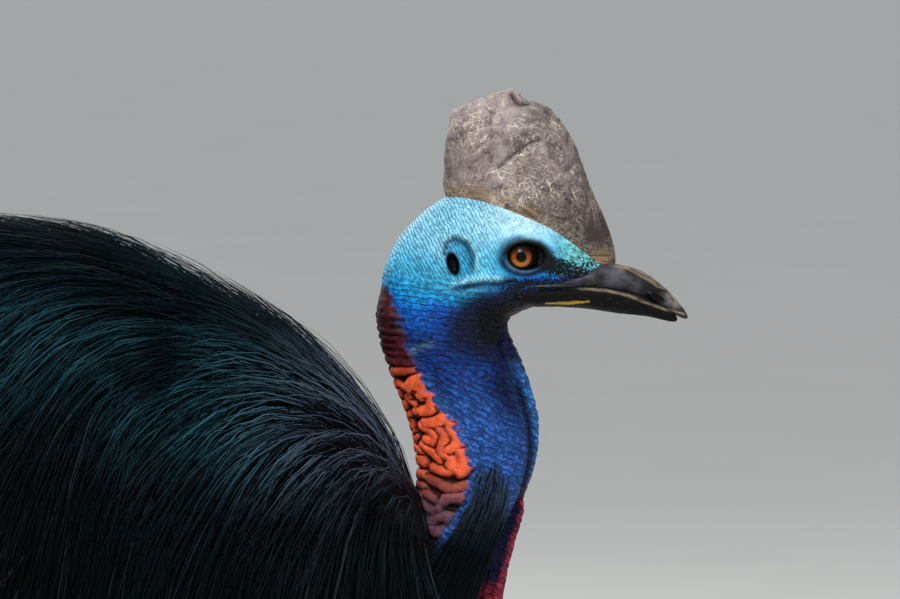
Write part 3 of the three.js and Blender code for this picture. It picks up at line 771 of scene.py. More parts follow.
def paintHead(points):
    # base colour with painted light and shade, black cover, depth of creases, and the painted shade of
    # the nape's fold valleys, on the head, neck and wattles
    u, w = offEye(points)
    y = np.abs(points[:, 1])
    drift = ripple(points, 34, 11) * 5
    small = ripple(points, 9, 12)
    colour = np.tile(hue(0x17408C), (len(points), 1))

    def tint(code, share):
        share = np.clip(share, 0, 1)[:, None]
        colour[:] = colour * (1 - share) + hue(code) * share

    tint(0x3468C0, soft(-88, -120, w + drift) * 0.78 * (1 + 0.28 * small))
    tint(0x072C72, soft(-110, -66, w + drift))
    tint(0x085CC0, soft(-72, -46, w + drift + 0.12 * u))
    line = np.interp(u, [-110, -80, -60, -40, -15, 10, 40], [-24, -30, -36, -33, -19, -12, -10])
    tint(0x1590D0, soft(-10, 6, w - line + drift * 0.7))
    tint(0x42A6CE, soft(2, 22, w - line + drift * 0.7))
    tint(0x7CBEDC, soft(18, 50, w - line + drift) * 0.9)
    tint(0xA8CCDC, hill(np.hypot((u - 2) / 1.4, (w - 27) * 1.2), 22) * 0.9)
    tint(0x74C4C0, soft(18, 42, u) * soft(-20, -6, w) * 0.85)
    tint(0x5CBCDC, hill(np.hypot((u + 32) / 1.3, w + 13), 13) * 0.9)
    # the ear: a darker blue in its cup and a dark line along its groove as painted shade, and a pale
    # line along its rim as a painted highlight
    tint(0x2488B4, soft(1.15, 0.75, ovalDistance(u, w, (-45, -3), (12, 17))) * 0.8)
    tint(0x0E4668, hill(lineDistance(u, w, fromPhoto(face["earGroove"])), 2.5) * 0.9)
    tint(0x9ADFF0, hill(lineDistance(u, w, fromPhoto(face["earRim"])), 2.2) * 0.5)
    # under the jaw and down the front of the upper neck: the skin's dark navy, deepened towards black
    # as painted shade
    tint(0x061232, soft(1.25, 0.75, np.hypot((u + 20) / 36, (w + 52) / 27)) * 0.95)
    tint(0x04060E, soft(1.3, 0.6, np.hypot((u + 8) / 32, (w + 52) / 21)))
    tint(0x06103A, soft(1.3, 0.5, np.hypot((u + 2) / 21, (w + 90) / 40)) * 0.92)
    fold = lineDistance(u, w, fromPhoto(face["throatFold"]))
    groove = lineDistance(u, w, fromPhoto(face["throatGroove"]))
    # a lighter blue along the throat's fold as a painted highlight, and a dark line in the groove
    # beside it as painted shade
    tint(0x3E88E0, hill(fold, 7) * soft(-75, -100, w) * 0.95)
    tint(0x040C2A, hill(groove, 3.8) * soft(-80, -104, w) * 0.95)
    tint(0x0C1842, soft(-176, -215, w) * 0.9)
    chin = lineDistance(u, w, fromPhoto([(508, 317), (522, 313), (545, 309)]))
    tint(0x55303A, hill(chin, 2.2) * (0.5 + 0.3 * small))
    streak = lineDistance(u, w, fromPhoto([(411, 352), (421, 346), (431, 344)]))
    tint(0x54788C, hill(streak, 2.6) * (0.4 + 0.4 * small))
    # a pale line along the cheek's ridge as a painted highlight, and a dark line in the groove below it
    # as painted shade
    ridge = lineDistance(u, w, fromPhoto(face["cheekRidge"]))
    tint(0x8ACCE4, hill(ridge, 3.0) * soft(-60, -40, u) * 0.9)
    shadedFurrow = lineDistance(u, w, fromPhoto(face["cheekGroove"]))
    tint(0x06286A, hill(shadedFurrow, 2.4) * soft(-60, -40, u) * 0.9)

    # Folds of the nape: each colour has a painted-shade copy in the valleys and a painted-highlight
    # copy on the crests
    inPatch, past = napePatch(points)
    height = neckPlace(points)[1]
    border = hill(past + 1.6, 1.8) * soft(84, 92, -w) * soft(214, 206, -w)
    tint(0x3C72B8, border * (0.5 + 0.35 * np.cos(w * 2 * math.pi / 5.0 - 2 * ripple(points, 30, 15))))
    rise, deep = foldField(points)
    raised = soft(0.6, 4.2, rise)
    warm = soft(80, 92, -w + drift * 0.5) * soft(172, 162, -w)
    pink = hill(-w - 174, 8)
    shade = np.clip(raised + 0.12 * small, 0, 1)[:, None]
    maroon = hue(0x10040A) * (1 - shade) + hue(0x441820) * shade
    orange = hue(0x4C0E06) * (1 - shade) + hue(0xD45A38) * shade
    plum = hue(0x18080E) * (1 - shade) + hue(0x5C3A46) * shade
    lower = soft(166, 178, -w)[:, None]
    litAndShadedFolds = maroon * (1 - warm[:, None]) + orange * warm[:, None]
    litAndShadedFolds = litAndShadedFolds * (1 - lower) + plum * lower
    litAndShadedFolds = litAndShadedFolds * (1 - 0.5 * pink[:, None]) + hue(0xA8503C) * 0.5 * pink[:, None]
    colour[:] = colour * (1 - inPatch[:, None]) + litAndShadedFolds * inPatch[:, None]

    # Wattles and the pink edge that runs down to them
    lobe = np.full(len(points), 1e9)
    for side in (-1, 1):
        t = np.linspace(0, 1, 60)
        middle = wattle(side).middle(t)
        for p in middle:
            lobe = np.minimum(lobe, np.linalg.norm(points - p, axis=1))
    front = soft(4, 1, fold + 1.5 * small) * soft(-165, -185, w)
    onLobe = soft(16, 12, lobe) * soft(-176, -186, w)
    tint(0x10183C, onLobe)
    red = np.maximum(onLobe * soft(-244, -262, w), front * 0.9)
    tint(0xA83246, red)
    tint(0x6E1C34, red * (0.3 + 0.3 * small))

    # Black skin round the eye, before it and along the mouth, with painted shade inside the lids'
    # opening and the ear's hole
    oval = eyeOval(u, w)
    onSide = (y > 8) * 1.0
    tint(0x14608C, soft(2.0, 1.4, oval) * soft(6, -2, u) * onSide * 0.8)
    tint(0x06203E, soft(1.75, 1.35, oval) * soft(4, -4, w) * onSide)
    tint(0x0A1418, soft(1.66, 1.22, oval) * soft(-4, 3, w) * onSide)
    tint(0x38586E, hill(oval - 1.13, 0.1) * soft(-1, -4, w) * soft(12, 6, u) * onSide)
    # inside the lids' opening, where the skin dips under the eyeball, near black as painted shade; the
    # eye's front corner black, partly dark skin and partly painted shade
    tint(0x040506, soft(1.06, 0.98, oval) * onSide)
    tint(0x07090C, soft(9, 4, lineDistance(u, w, [(12, 2), (17, -2), (20, -5)])) * onSide)
    mouth = lineDistance(u, w, [(-15, -24), (14, -24), (60, -25)])
    lore = lineDistance(u, w, [(16, -3), (34, -11), (60, -22)])
    cover = 0.85 * soft(12, 4, mouth) * soft(-22, -8, u)
    cover = np.maximum(cover, 0.9 * soft(11.5, 3, lore) * soft(10, 18, u))
    cover = np.maximum(cover, 0.5 * soft(24, 50, u) * soft(8, -8, w))
    # the ear's hole near black: painted shade inside it
    hole = face["earHole"]
    inside = soft(1.25, 0.9, ovalDistance(u, w, hole["at"], hole["size"], hole["lean"]))
    tint(0x020304, inside * onSide)
    smooth = np.maximum(inPatch, np.maximum(soft(1.9, 1.5, oval), inside))
    cover *= soft(4, 9, y)
    cover = np.maximum(cover, 0.12 * soft(0, 30, w))
    # bare skin sinks into black feathers at the foot of the neck
    cover = np.maximum(cover, soft(-215, -240, w) * soft(18, 24, lobe))
    cover = np.maximum(cover, soft(10, 17, height) * soft(-140, -170, w) * soft(18, 24, lobe))
    onCore = soft(8, 3, corePlace(points)) * soft(700, 720, points[:, 2])
    onCore *= np.maximum(soft(-100, -120, w), soft(-122, -134, u))
    tint(0x07090C, onCore * soft(18, 24, lobe))
    crease = 1 - 0.9 * smooth
    crease *= 1 - 0.65 * hill(np.hypot(u - 6, (w - 22) * 1.1), 34)  # smooth above the eye
    # painted shade at the bottoms of the neck's main creases, slightly lighter elsewhere
    colour[:] = colour * (1.06 - 0.6 * wrinkleValley(points))[:, None]
    return colour, cover, crease, deep * inPatch


def corePlace(points):
    # height over the body's core
    t = core.at(0, points[:, 0])
    middle = core.middle(t)
    reach = spline(core.stations[:, 3:6], t)
    dz, dy = points[:, 2] - middle[:, 2], points[:, 1]
    angle = np.arctan2(dy / reach[:, 2], dz / reach[:, 0])
    base = np.hypot(reach[:, 0] * np.cos(angle), reach[:, 2] * np.sin(angle))
    return np.hypot(dy, dz) - base


def neckPlace(points):
    # the angle from the neck's front and the height over the plain neck
    depth = bird["eyeHeight"] - points[:, 2]
    t = np.clip(neckShare(depth), 0.001, 0.999)
    middle = neck.middle(t)
    reach = spline(neck.stations[:, 3:6], t)
    dx, dy = points[:, 0] - middle[:, 0], points[:, 1]
    angle = np.abs(np.arctan2(dy / reach[:, 2], dx / reach[:, 0]))
    base = np.hypot(reach[:, 0] * np.cos(angle), reach[:, 2] * np.sin(angle))
    return angle, np.hypot(dx, dy) - base


foldLines = foldCourses()

# How fine the skin is: the size of a voxel of each part, in millimetres
voxels = {"base": 4.0, "headNeck": 1.93, "body": 11.0, "lowerLeg": 3.0}


def refined(mesh, chosen):
    # every face with all its corners chosen is made into four
    bm = bmesh.new()
    bm.from_mesh(mesh)
    edges = [edge for edge in bm.edges if chosen[edge.verts[0].index] and chosen[edge.verts[1].index]]
    bmesh.ops.subdivide_edges(bm, edges=edges, cuts=1, use_grid_fill=True)
    made = bpy.data.meshes.new("refined")
    bm.to_mesh(made)
    bm.free()
    return made


def wrinkleValley(points):
    # 1 at the bottom of a main crease of the neck
    u, w = offEye(points)
    lean = np.interp(w, [-200, -110, -60, -30], [0.42, 0.52, 0.25, 0.08])
    level = u * np.sin(lean) + w * np.cos(lean)
    level = level + 2.6 * ripple(points, 30, 61) + 1.1 * ripple(points, 11, 62)
    rib = np.abs(np.sin(level * math.pi / 5.6)) ** 0.6
    broken = soft(-0.9, 0.5, ripple(points, 17, 63))
    onNeck = soft(-30, -48, w) * soft(-208, -190, w) * (1 - napePatch(points)[0])
    return (1 - rib) * (0.35 + 0.65 * broken) * onNeck


def wrinkle(mesh):
    points, normals = pointsOf(mesh), normalsOf(mesh)
    setPoints(mesh, points - normals * (1.9 * wrinkleValley(points))[:, None])


def headNeckMesh():
    base = toMesh("base", [loft(head, 64, 48), loft(neck, 56, 64)])
    base = remeshed(base, voxels["base"])
    relax(base, 8)
    base = finished(base, "SUBSURF", levels=1, render_levels=1)
    pieces = [base, loft(wattle(-1), 20, 36), loft(wattle(1), 20, 36)]
    made = remeshed(toMesh("folded", pieces), voxels["headNeck"])
    relax(made, 1)
    points = pointsOf(made)
    u, w = offEye(points)
    chosen = (napePatch(points)[0] > 0.01) & (w < -76)
    onFace = (eyeOval(u, w) < 2.2) | (ovalDistance(u, w, (-45, -2), (17, 21)) < 1)
    chosen |= onFace & (np.abs(points[:, 1]) > 8)
    made = refined(made, chosen)
    points = pointsOf(made)
    raised, deep = foldField(points)
    share, past = napePatch(points)
    depth = bird["eyeHeight"] - points[:, 2]
    lift = share * (0.6 + raised - 1.3 * deep) * soft(20, 46, depth)
    beads = 0.6 + 0.4 * np.cos(depth * 2 * math.pi / 5.0 + 2 * ripple(points, 30, 15))
    beads = beads * hill(past + 1.6, 1.7)
    lift += 1.5 * beads * soft(84, 92, depth) * soft(214, 206, depth)
    setPoints(made, points + normalsOf(made) * lift[:, None])
    wrinkle(made)
    sculptFace(made)
    relax(made, 1, 0.25)
    return made


# Legs
leg = {
    "footApart": 108,
    "hipApart": 98,
    "rightFootForward": -117,
    "leftFootForward": -31,
    "ankleHeight": 335,
    "ankleBehindFoot": 62,
    "soleLift": 3,
    "scutePitch": 15.5,
    "toes": [
        {
            "name": "middle",
            "turn": 0,
            "reach": 152,
            "high": 18.5,
            "wide": 18,
            "claw": 46,
            "clawHigh": 9.5,
        },
        {
            "name": "outer",
            "turn": 0.52,
            "reach": 108,
            "high": 16.5,
            "wide": 15.5,
            "claw": 40,
            "clawHigh": 8.5,
        },
        {
            "name": "inner",
            "turn": -0.46,
            "reach": 74,
            "high": 16.5,
            "wide": 15.5,
            "claw": 105,
            "clawHigh": 10.5,
        },
    ],
}


def legForms(side, footX):
    ankleX = footX - leg["ankleBehindFoot"]
    footY, hipY = side * leg["footApart"], side * leg["hipApart"]
    ankleY = side * (leg["footApart"] - 6)
    thighRows = [
        (ankleX * 0.2 + 70, hipY, 660, 96, 92, 62),
        (ankleX * 0.3 + 52, hipY, 570, 84, 80, 60),
        (ankleX * 0.6 + 34, (hipY + ankleY) / 2, 490, 60, 58, 47),
        (ankleX * 0.9 + 16, ankleY, 425, 38, 37, 35),
        (ankleX + 8, ankleY, 385, 31, 31, 30),
    ]
    deep = bird["thighCoatDepth"]
    bare = [[r - deep * min(1, r / 60) for r in reach] for _, _, _, *reach in thighRows]
    thighRows = [(*row[:3], *reach) for row, reach in zip(thighRows, bare)]
    forms = {"thigh": Form(thighRows, up=(1, 0, 0), ends=(0.1, 0.06))}
    forms["shank"] = Form(
        [
            (ankleX + 14, ankleY, 420, 19, 19, 18),
            (ankleX + 5, ankleY, 380, 20, 20, 19),
            (ankleX, ankleY, 357, 25, 25, 24),
            (ankleX, ankleY, leg["ankleHeight"], 30, 29, 28),
            (ankleX + 5, ankleY, 312, 24, 24, 22),
        ],
        up=(1, 0, 0),
        ends=(0.06, 0.1),
    )
    forms["tarsus"] = Form(
        [
            (ankleX + 1, ankleY, 332, 29, 27, 27),
            (ankleX + 7, ankleY, 302, 24, 22, 22),
            (ankleX + 18, ankleY, 240, 20, 18, 18),
            ((ankleX + footX) / 2 + 10, (ankleY + footY) / 2, 160, 19, 17, 17),
            (footX - 12, footY, 90, 21, 18, 20),
            (footX - 2, footY, 50, 26, 22, 26),
            (footX, footY, 12, 25, 22, 26),
        ],
        up=(1, 0, 0),
        ends=(0.05, 0.1),
    )
    for toe in leg["toes"]:
        along = (math.cos(toe["turn"]), side * math.sin(toe["turn"]))
        high, wide, reach, lift = toe["high"], toe["wide"], toe["reach"], leg["soleLift"]
        claw, clawHigh = toe["claw"], toe["clawHigh"]

        def lay(distance, z):
            return (footX + along[0] * distance, footY + along[1] * distance, z)

        forms["toe_" + toe["name"]] = Form(
            [
                (*lay(0, high - lift + 6), high, high, wide),
                (*lay(reach * 0.25, high - lift), high * 0.92, high, wide * 0.9),
                (*lay(reach * 0.5, high - lift), high, high, wide),
                (*lay(reach * 0.75, high - lift - 2), high * 0.84, high, wide * 0.86),
                (*lay(reach * 0.92, high - lift - 3), high * 0.8, high * 0.9, wide * 0.85),
                (*lay(reach, high - lift - 4), high * 0.6, high * 0.7, wide * 0.6),
            ],
            across=(-along[1], along[0], 0),
            ends=(0.06, 0.1),
        )
        forms["claw_" + toe["name"]] = Form(
            [
                (*lay(reach - 14, high - 4), clawHigh, clawHigh, clawHigh * 0.9),
                (*lay(reach + claw * 0.2, high - 3), clawHigh, clawHigh, clawHigh * 0.85),
                (*lay(reach + claw * 0.6, high - 6), clawHigh * 0.62, clawHigh * 0.6, clawHigh * 0.5),
                (*lay(reach + claw, 3.2), 1.2, 1.2, 1.2),
            ],
            across=(-along[1], along[0], 0),
            ends=(0.06, 0.05),
        )
    return forms


legs = {
    "right": legForms(-1, leg["rightFootForward"]),
    "left": legForms(1, leg["leftFootForward"]),
}


def scutes(points, upward, forms, footX, side):
    # how far the scutes of the tarsus and toes stand out, and the seams between them
    tarsus = forms["tarsus"]
    middle = tarsus.middle(tarsus.at(2, points[:, 2]))
    angle = np.abs(np.arctan2(points[:, 1] - middle[:, 1], points[:, 0] - middle[:, 0]))
    onTarsus = soft(36, 52, points[:, 2]) * soft(330, 312, points[:, 2])
    step = (points[:, 2] / leg["scutePitch"]) % 1
    ahead = soft(1.15, 0.85, angle)
    push = (2.2 - 1.6 * step) * soft(0, 0.12, step) * ahead * onTarsus
    seam = hill(np.minimum(step, 1 - step), 0.11) * ahead * onTarsus
    run = np.hypot(points[:, 1] - side * leg["footApart"], points[:, 0] - footX)
    step = (run / 9.5) % 1
    top = soft(0.25, 0.6, upward) * soft(46, 36, points[:, 2]) * soft(14, 26, run)
    push += (0.4 + 1.3 * step) * soft(1.0, 0.9, step) * top
    return push, np.maximum(seam, hill(np.minimum(step, 1 - step), 0.12) * top)


def sculptLeg(mesh, forms, footX, side):
    points, normals = pointsOf(mesh), normalsOf(mesh)
    push = scutes(points, normals[:, 2], forms, footX, side)[0]
    points += normals * push[:, None]
    points[:, 2] = np.maximum(points[:, 2], 0)
    setPoints(mesh, points)


# The wings' stumps, held against the flanks
stumpRows = [
    (175, 150, 850, 12, 12, 10),
    (150, 157, 838, 24, 24, 16),
    (95, 168, 815, 30, 30, 20),
    (40, 173, 790, 28, 28, 18),
    (5, 176, 772, 16, 18, 14),
]


def bodyMesh():
    pieces = [loft(core, 64, 56)]
    for side in (-1, 1):
        rows = [(x, side * (y - 14), *rest) for x, y, *rest in stumpRows]
        pieces.append(loft(Form(rows, ends=(0.1, 0.12)), 20, 20))
        pieces.append(loft(legs["right" if side < 0 else "left"]["thigh"], 32, 28))
    made = remeshed(toMesh("body", pieces), voxels["body"])
    relax(made, 3)
    return made


def buildSkin():
    skin = headNeckMesh()
    print("head and neck", len(skin.polygons))
    skin = united(skin, bodyMesh())
    for name, side in (("right", -1), ("left", 1)):
        forms = legs[name]
        parts = [loft(forms["shank"], 32, 28), loft(forms["tarsus"], 32, 64)]
        parts += [loft(forms["toe_" + toe["name"]], 28, 40) for toe in leg["toes"]]
        lower = remeshed(toMesh("lower", parts), voxels["lowerLeg"])
        relax(lower, 2)
        sculptLeg(lower, forms, leg[name + "FootForward"], side)
        skin = united(skin, lower)
    points = pointsOf(skin)
    u, w = offEye(points)
    onHead = soft(-400, -380, w) * soft(-190, -165, u)
    colour, cover, crease, fold = paintHead(points)
    upward = normalsOf(skin)[:, 2]
    right = scutes(points, upward, legs["right"], leg["rightFootForward"], -1)[1]
    left = scutes(points, upward, legs["left"], leg["leftFootForward"], 1)[1]
    seams = np.where(points[:, 1] < 0, right, left)
    legHue = hue(0x6A6658) * (1 + 0.16 * ripple(points, 30, 5) - 0.6 * seams)[:, None]
    coatHue = np.tile(hue(0x0B0D10), (len(points), 1))
    low = soft(440, 410, points[:, 2])[:, None]
    colour = colour * onHead[:, None] + (1 - onHead[:, None]) * (coatHue * (1 - low) + legHue * low)
    shares = creaseShares(u, w)
    levels = creaseLevels(u, w)
    giveColour(skin, "tint", np.clip(colour, 0, 1))
    giveValues(skin, "cover", cover * onHead)
    # painted shade of the valleys between the nape's folds
    giveValues(skin, "fold", fold * onHead)
    giveValues(skin, "scaly", soft(425, 395, points[:, 2]))
    for key in shares:
        giveValues(skin, key + "Level", levels[key])
        giveValues(skin, key + "Share", shares[key] * crease * onHead)
    return skin


# which family, then pitch and wander in millimetres, the share of fine wander, and depth
creaseKinds = [
    ("crown", 2.6, 1.6, 0.5, 0.9),
    ("collar", 4.2, 2.6, 0.3, 0.75),
    ("collar", 2.2, 2.4, 0.5, 0.4),
    ("neck", 4.4, 3.0, 0.25, 1.0),
    ("neck", 2.1, 2.4, 0.5, 0.6),
]


def skinMaterial():
    material, tree, principled = newMaterial("birdSkin")
    where = put(tree, "TexCoord").outputs["Object"]
    base = attribute(tree, "tint", "Color")
    mottle = noiseOf(tree, where, 170.0, 4.0, 0.6)
    shade = between(tree, mottle, 0.3, 0.7, 0.72, 1.18)
    base = shaded(tree, base, shade)
    height = None
    for key, pitch, wander, fine, depth in creaseKinds:
        level = attribute(tree, key + "Level")
        rib = useGroup(tree, creases, "Height", Level=level, Pitch=pitch, Wander=wander, Fine=fine)
        share = sums(tree, "MULTIPLY", attribute(tree, key + "Share"), depth)
        term = sums(tree, "MULTIPLY", sums(tree, "SUBTRACT", rib, 1.0), share)
        height = term if height is None else sums(tree, "ADD", height, term)
    # painted shade: darker in the valleys of the creases
    valley = between(tree, height, -0.8, -0.1, 0.42, 1.06)
    base = shaded(tree, base, valley)
    # painted shade: darker in the valleys between the nape's folds
    gap = between(tree, attribute(tree, "fold"), 0.15, 0.9, 1.0, 0.2)
    base = shaded(tree, base, gap)
    black = useGroup(tree, speckles, "Mask", Cover=attribute(tree, "cover"), Scale=640.0, Edge=0.26)
    base = blendOf(tree, black, base, hue(0x0C0F14))
    cells = {"Vector": where, "Scale": 230.0}
    cell = put(tree, "TexVoronoi", cells, feature="DISTANCE_TO_EDGE").outputs[0]
    scale = between(tree, cell, 0.0, 0.12)
    scaly = attribute(tree, "scaly")
    betweenScales = sums(tree, "SUBTRACT", 1.0, scale)
    darkened = sums(tree, "MULTIPLY", betweenScales, sums(tree, "MULTIPLY", scaly, 0.6))
    seamShade = sums(tree, "SUBTRACT", 1.0, darkened)
    base = shaded(tree, base, seamShade)
    tree.links.new(base, principled.inputs["Base Color"])
    grain = noiseOf(tree, where, 900.0, 2.0)
    height = sums(tree, "MULTIPLY_ADD", grain, 0.25, height)
    height = sums(tree, "MULTIPLY_ADD", sums(tree, "MULTIPLY", scale, scaly), 1.1, height)
    bumped(tree, principled, height, 0.0011)
    tree.links.new(between(tree, mottle, 0.3, 0.7, 0.38, 0.55), principled.inputs["Roughness"])
    principled.inputs["Specular IOR Level"].default_value = 0.12
    principled.inputs["Subsurface Weight"].default_value = 0.06
    principled.inputs["Subsurface Radius"].default_value = (0.003, 0.002, 0.002)
    return material


fleshNodes = ["head", "neck_upper", "neck_lower", "wattle_right", "wattle_left", "torso", "tail"]
for legName in ("right", "left"):
    fleshNodes += [part + "_" + legName for part in ("thigh", "shank", "tarsus")]
    fleshNodes += ["toe_" + toe["name"] + "_" + legName for toe in leg["toes"]]

skinMesh = buildSkin()
place("skin", skinMesh, skinMaterial(), "head_skin", fleshNodes)
print("skin", len(skinMesh.polygons))


# Casque and bill
casqueRows = [
    (-14, 40, 68, 8),
    (-6, 16, 72, 11),
    (10, -18, 69.5, 16),
    (28, -46, 63, 22),
    (46, -57, 55, 23),
    (62, -58.5, 48.5, 21),
    (83, -57.5, 40.5, 17),
    (99, -55, 32, 13),
    (108, -50, 23, 10),
    (114, -40, 14, 7.5),
    (118.5, -25, 3, 5.5),
    (122, -14, 0, 4),
    (124.8, -9, -5, 2.5),
]
casque = Form(standing(casqueRows), up=(1, 0, 0), ends=(0.08, 0.03))
upperRows = [
    (-18, -21, -24, 29),
    (8, -20, -25, 26.5),
    (30, -18, -25.5, 22),
    (46, -13, -26, 18.5),
    (58, -6.5, -27, 16),
    (73, -8, -29, 13.5),
    (91, -13, -33, 10.5),
    (107, -24, -40, 7.5),
    (118, -35, -47, 4.5),
    (127, -46, -51, 1.8),
]
lowerRows = [
    (-15, -21, -35, 26),
    (8, -20, -40, 24),
    (30, -20, -40.5, 20),
    (50, -20, -42, 16),
    (74, -23, -45.5, 12),
    (96, -29, -48, 8),
    (112, -41, -51.5, 3.6),
    (119, -48, -52, 1.2),
]
billUpper = Form(fromEye(upperRows), ends=(0.03, 0.05))
billLower = Form(fromEye(lowerRows), ends=(0.04, 0.05))
bill = {
    "culmenGroove": [(626, 273), (645, 283), (656, 291), (666, 294)],
    "culmenPlate": [(618, 266), (635, 271), (655, 283), (670, 293), (678, 306)],
    "tomium": [
        (505, 283),
        (540, 285.5),
        (577, 288.5),
        (608, 292),
        (631, 297.5),
        (641, 302),
        (667, 312),
        (686, 317),
    ],
    "lowGroove": [(640, 300.5), (655, 306), (673, 310)],
    "plateGroove": [(632, 270.5), (652, 281), (667, 292), (675, 303)],
}
nostril = {"at": (102, -32), "size": (7.4, 2.3), "lean": -0.4, "deep": 2.0}
casqueMarks = {
    "crack": [(498, 168), (512, 156), (528, 144), (540, 140)],
    "ledge": [(500, 165), (506, 182), (528, 193), (548, 190)],
    "dip": [(512, 96), (520, 106), (529, 103)],
}


def buildCasque():
    mesh = toMesh("casque", [loft(casque, 120, 150)])
    points, normals = pointsOf(mesh), normalsOf(mesh)
    u, w = offEye(points)
    facing = soft(0.1, 0.5, np.abs(normals[:, 1]))
    push = 0.9 * ripple(points, 38, 21) + 0.35 * ripple(points, 12, 22) + 0.16 * ripple(points, 5, 23)
    push += 0.5 * ripple(points, 8, 25) * soft(60, 100, w)
    push *= soft(20, 60, w)
    near = {key: lineDistance(u, w, fromPhoto(line)) for key, line in casqueMarks.items()}
    push -= 0.9 * hill(near["crack"], 1.8) * facing
    push += 0.6 * hill(near["ledge"], 2.6) * facing
    push -= 2.2 * hill(near["dip"], 3.5)
    push += 1.4 * np.maximum(ripple(points, 16, 24), 0) * soft(92, 112, w)
    points += normals * push[:, None]
    setPoints(mesh, points)
    away = w - np.interp(u, [-58, -20, 3, 21, 35, 49, 73], [44, 41, 31, 19.5, 4, -6, -8])
    giveValues(mesh, "rim", np.interp(away + 2.5 * ripple(points, 20, 26), [0, 4, 13], [1, 0.8, 0]))
    giveValues(mesh, "rimAway", away)
    dusk = 0.7 * hill(np.hypot(u - 15, w - 107), 13)
    dusk = np.maximum(dusk, 0.9 * soft(52, 12, w) * soft(18, 44, u))
    giveValues(mesh, "dusk", dusk)
    # painted shade: dark in the cracks and the dip
    giveValues(mesh, "crack", np.maximum(hill(near["crack"], 1.5), hill(near["dip"], 1.8)) * facing)
    scuff = hill(near["crack"], 4) + hill(near["ledge"], 5) + soft(70, 115, w) * 0.5
    giveValues(mesh, "scuff", np.clip(scuff, 0, 1))
    return mesh


def threadGroup():
    # Thin wandering threads, as scratches are: where a noise passes through its middle value.
    inputs = [("Scale", "Float", 60.0), ("Width", "Float", 0.02), ("Twist", "Float", 1.0)]
    group, start, end = newGroup("threads", inputs, [("Mask", "Float")])
    where = put(group, "TexCoord").outputs["Object"]
    field = noiseOf(group, where, start.outputs["Scale"], 4.0, 0.62, start.outputs["Twist"])
    away = sums(group, "ABSOLUTE", sums(group, "SUBTRACT", field, 0.5))
    group.links.new(between(group, away, start.outputs["Width"], 0.0), end.inputs["Mask"])
    return group


threads = threadGroup()


# The casque's scratches: scale, width, twist and strength of each family
casqueThreads = [(38.0, 0.011, 1.8, 1.0), (75.0, 0.02, 1.4, 1.0), (170.0, 0.04, 0.8, 0.7)]


def casqueMaterial():
    material, tree, principled = newMaterial("casqueHorn")
    where = put(tree, "TexCoord").outputs["Object"]
    scuff = attribute(tree, "scuff")
    broad = noiseOf(tree, where, 26.0, 5.0, 0.65, 0.5)
    colour = blendOf(tree, between(tree, broad, 0.32, 0.68), hue(0x463838), hue(0x9A8A8C))
    axes = put(tree, "SeparateXYZ", {0: where}).outputs
    colour = blendOf(tree, between(tree, axes[2], 1.08, 0.99, 0.0, 0.8), colour, hue(0x43342B))
    colour = blendOf(tree, between(tree, axes[0], 0.355, 0.45, 0.0, 0.85), colour, hue(0x3E3232))
    dusk = attribute(tree, "dusk")
    colour = blendOf(tree, sums(tree, "MULTIPLY", dusk, 0.85), colour, hue(0x2C211D))
    along = put(tree, "CombineXYZ", {0: sums(tree, "MULTIPLY", axes[0], 40.0)})
    tree.links.new(sums(tree, "MULTIPLY", attribute(tree, "rimAway"), 0.7), along.inputs[1])
    fibre = noiseOf(tree, along.outputs[0], 1.0, 5.0, 0.7, 0.3)
    rim = sums(tree, "MULTIPLY", attribute(tree, "rim"), between(tree, fibre, 0.3, 0.55, 0.3, 1.0))
    tan = blendOf(tree, between(tree, fibre, 0.38, 0.62), hue(0x2E2018), hue(0x8E7452))
    colour = blendOf(tree, rim, colour, tan)
    patches = between(tree, noiseOf(tree, where, 42.0, 4.0, 0.65, 0.8), 0.36, 0.58)
    amount = sums(tree, "MULTIPLY", patches, sums(tree, "MULTIPLY_ADD", scuff, 0.5, 0.55))
    amount = sums(tree, "MULTIPLY", amount, sums(tree, "MULTIPLY_ADD", dusk, -0.6, 1.0))
    pale = None
    for scale, width, twist, share in casqueThreads:
        line = useGroup(tree, threads, "Mask", Scale=scale, Width=width, Twist=twist)
        line = sums(tree, "MULTIPLY", line, share)
        pale = line if pale is None else sums(tree, "MAXIMUM", pale, line)
    for turn in (0.5, 1.2, 1.9, 2.7):
        tilted = {"Vector": where, "Scale": (0.0017, 0.0017, 0.010), "Rotation": (0, turn, 0)}
        turned = put(tree, "Mapping", tilted, vector_type="TEXTURE").outputs[0]
        stroke = noiseOf(tree, turned, 1.0, 2.0, 0.5, 0.3)
        pale = sums(tree, "MAXIMUM", pale, between(tree, stroke, 0.61, 0.67, 0.0, 0.9))
    pale = sums(tree, "MULTIPLY", pale, amount)
    colour = blendOf(tree, sums(tree, "MULTIPLY", pale, 0.95), colour, hue(0xD6CABC))
    dark = between(tree, noiseOf(tree, where, 95.0, 4.0, 0.7), 0.53, 0.67, 0.0, 0.6)
    # painted shade in the cracks and the dip joins the random dark blotches
    dark = sums(tree, "MAXIMUM", dark, sums(tree, "MULTIPLY", attribute(tree, "crack"), 0.9))
    colour = blendOf(tree, dark, colour, hue(0x1C1312))
    tree.links.new(colour, principled.inputs["Base Color"])
    tree.links.new(between(tree, broad, 0.3, 0.7, 0.42, 0.6), principled.inputs["Roughness"])
    height = sums(tree, "ADD", sums(tree, "MULTIPLY", broad, 1.5), sums(tree, "MULTIPLY", fibre, 0.4))
    height = sums(tree, "MULTIPLY_ADD", pale, 0.5, height)
    height = sums(tree, "SUBTRACT", height, sums(tree, "MULTIPLY", dark, 0.8))
    bumped(tree, principled, height, 0.0009)
    principled.inputs["Specular IOR Level"].default_value = 0.3
    return material


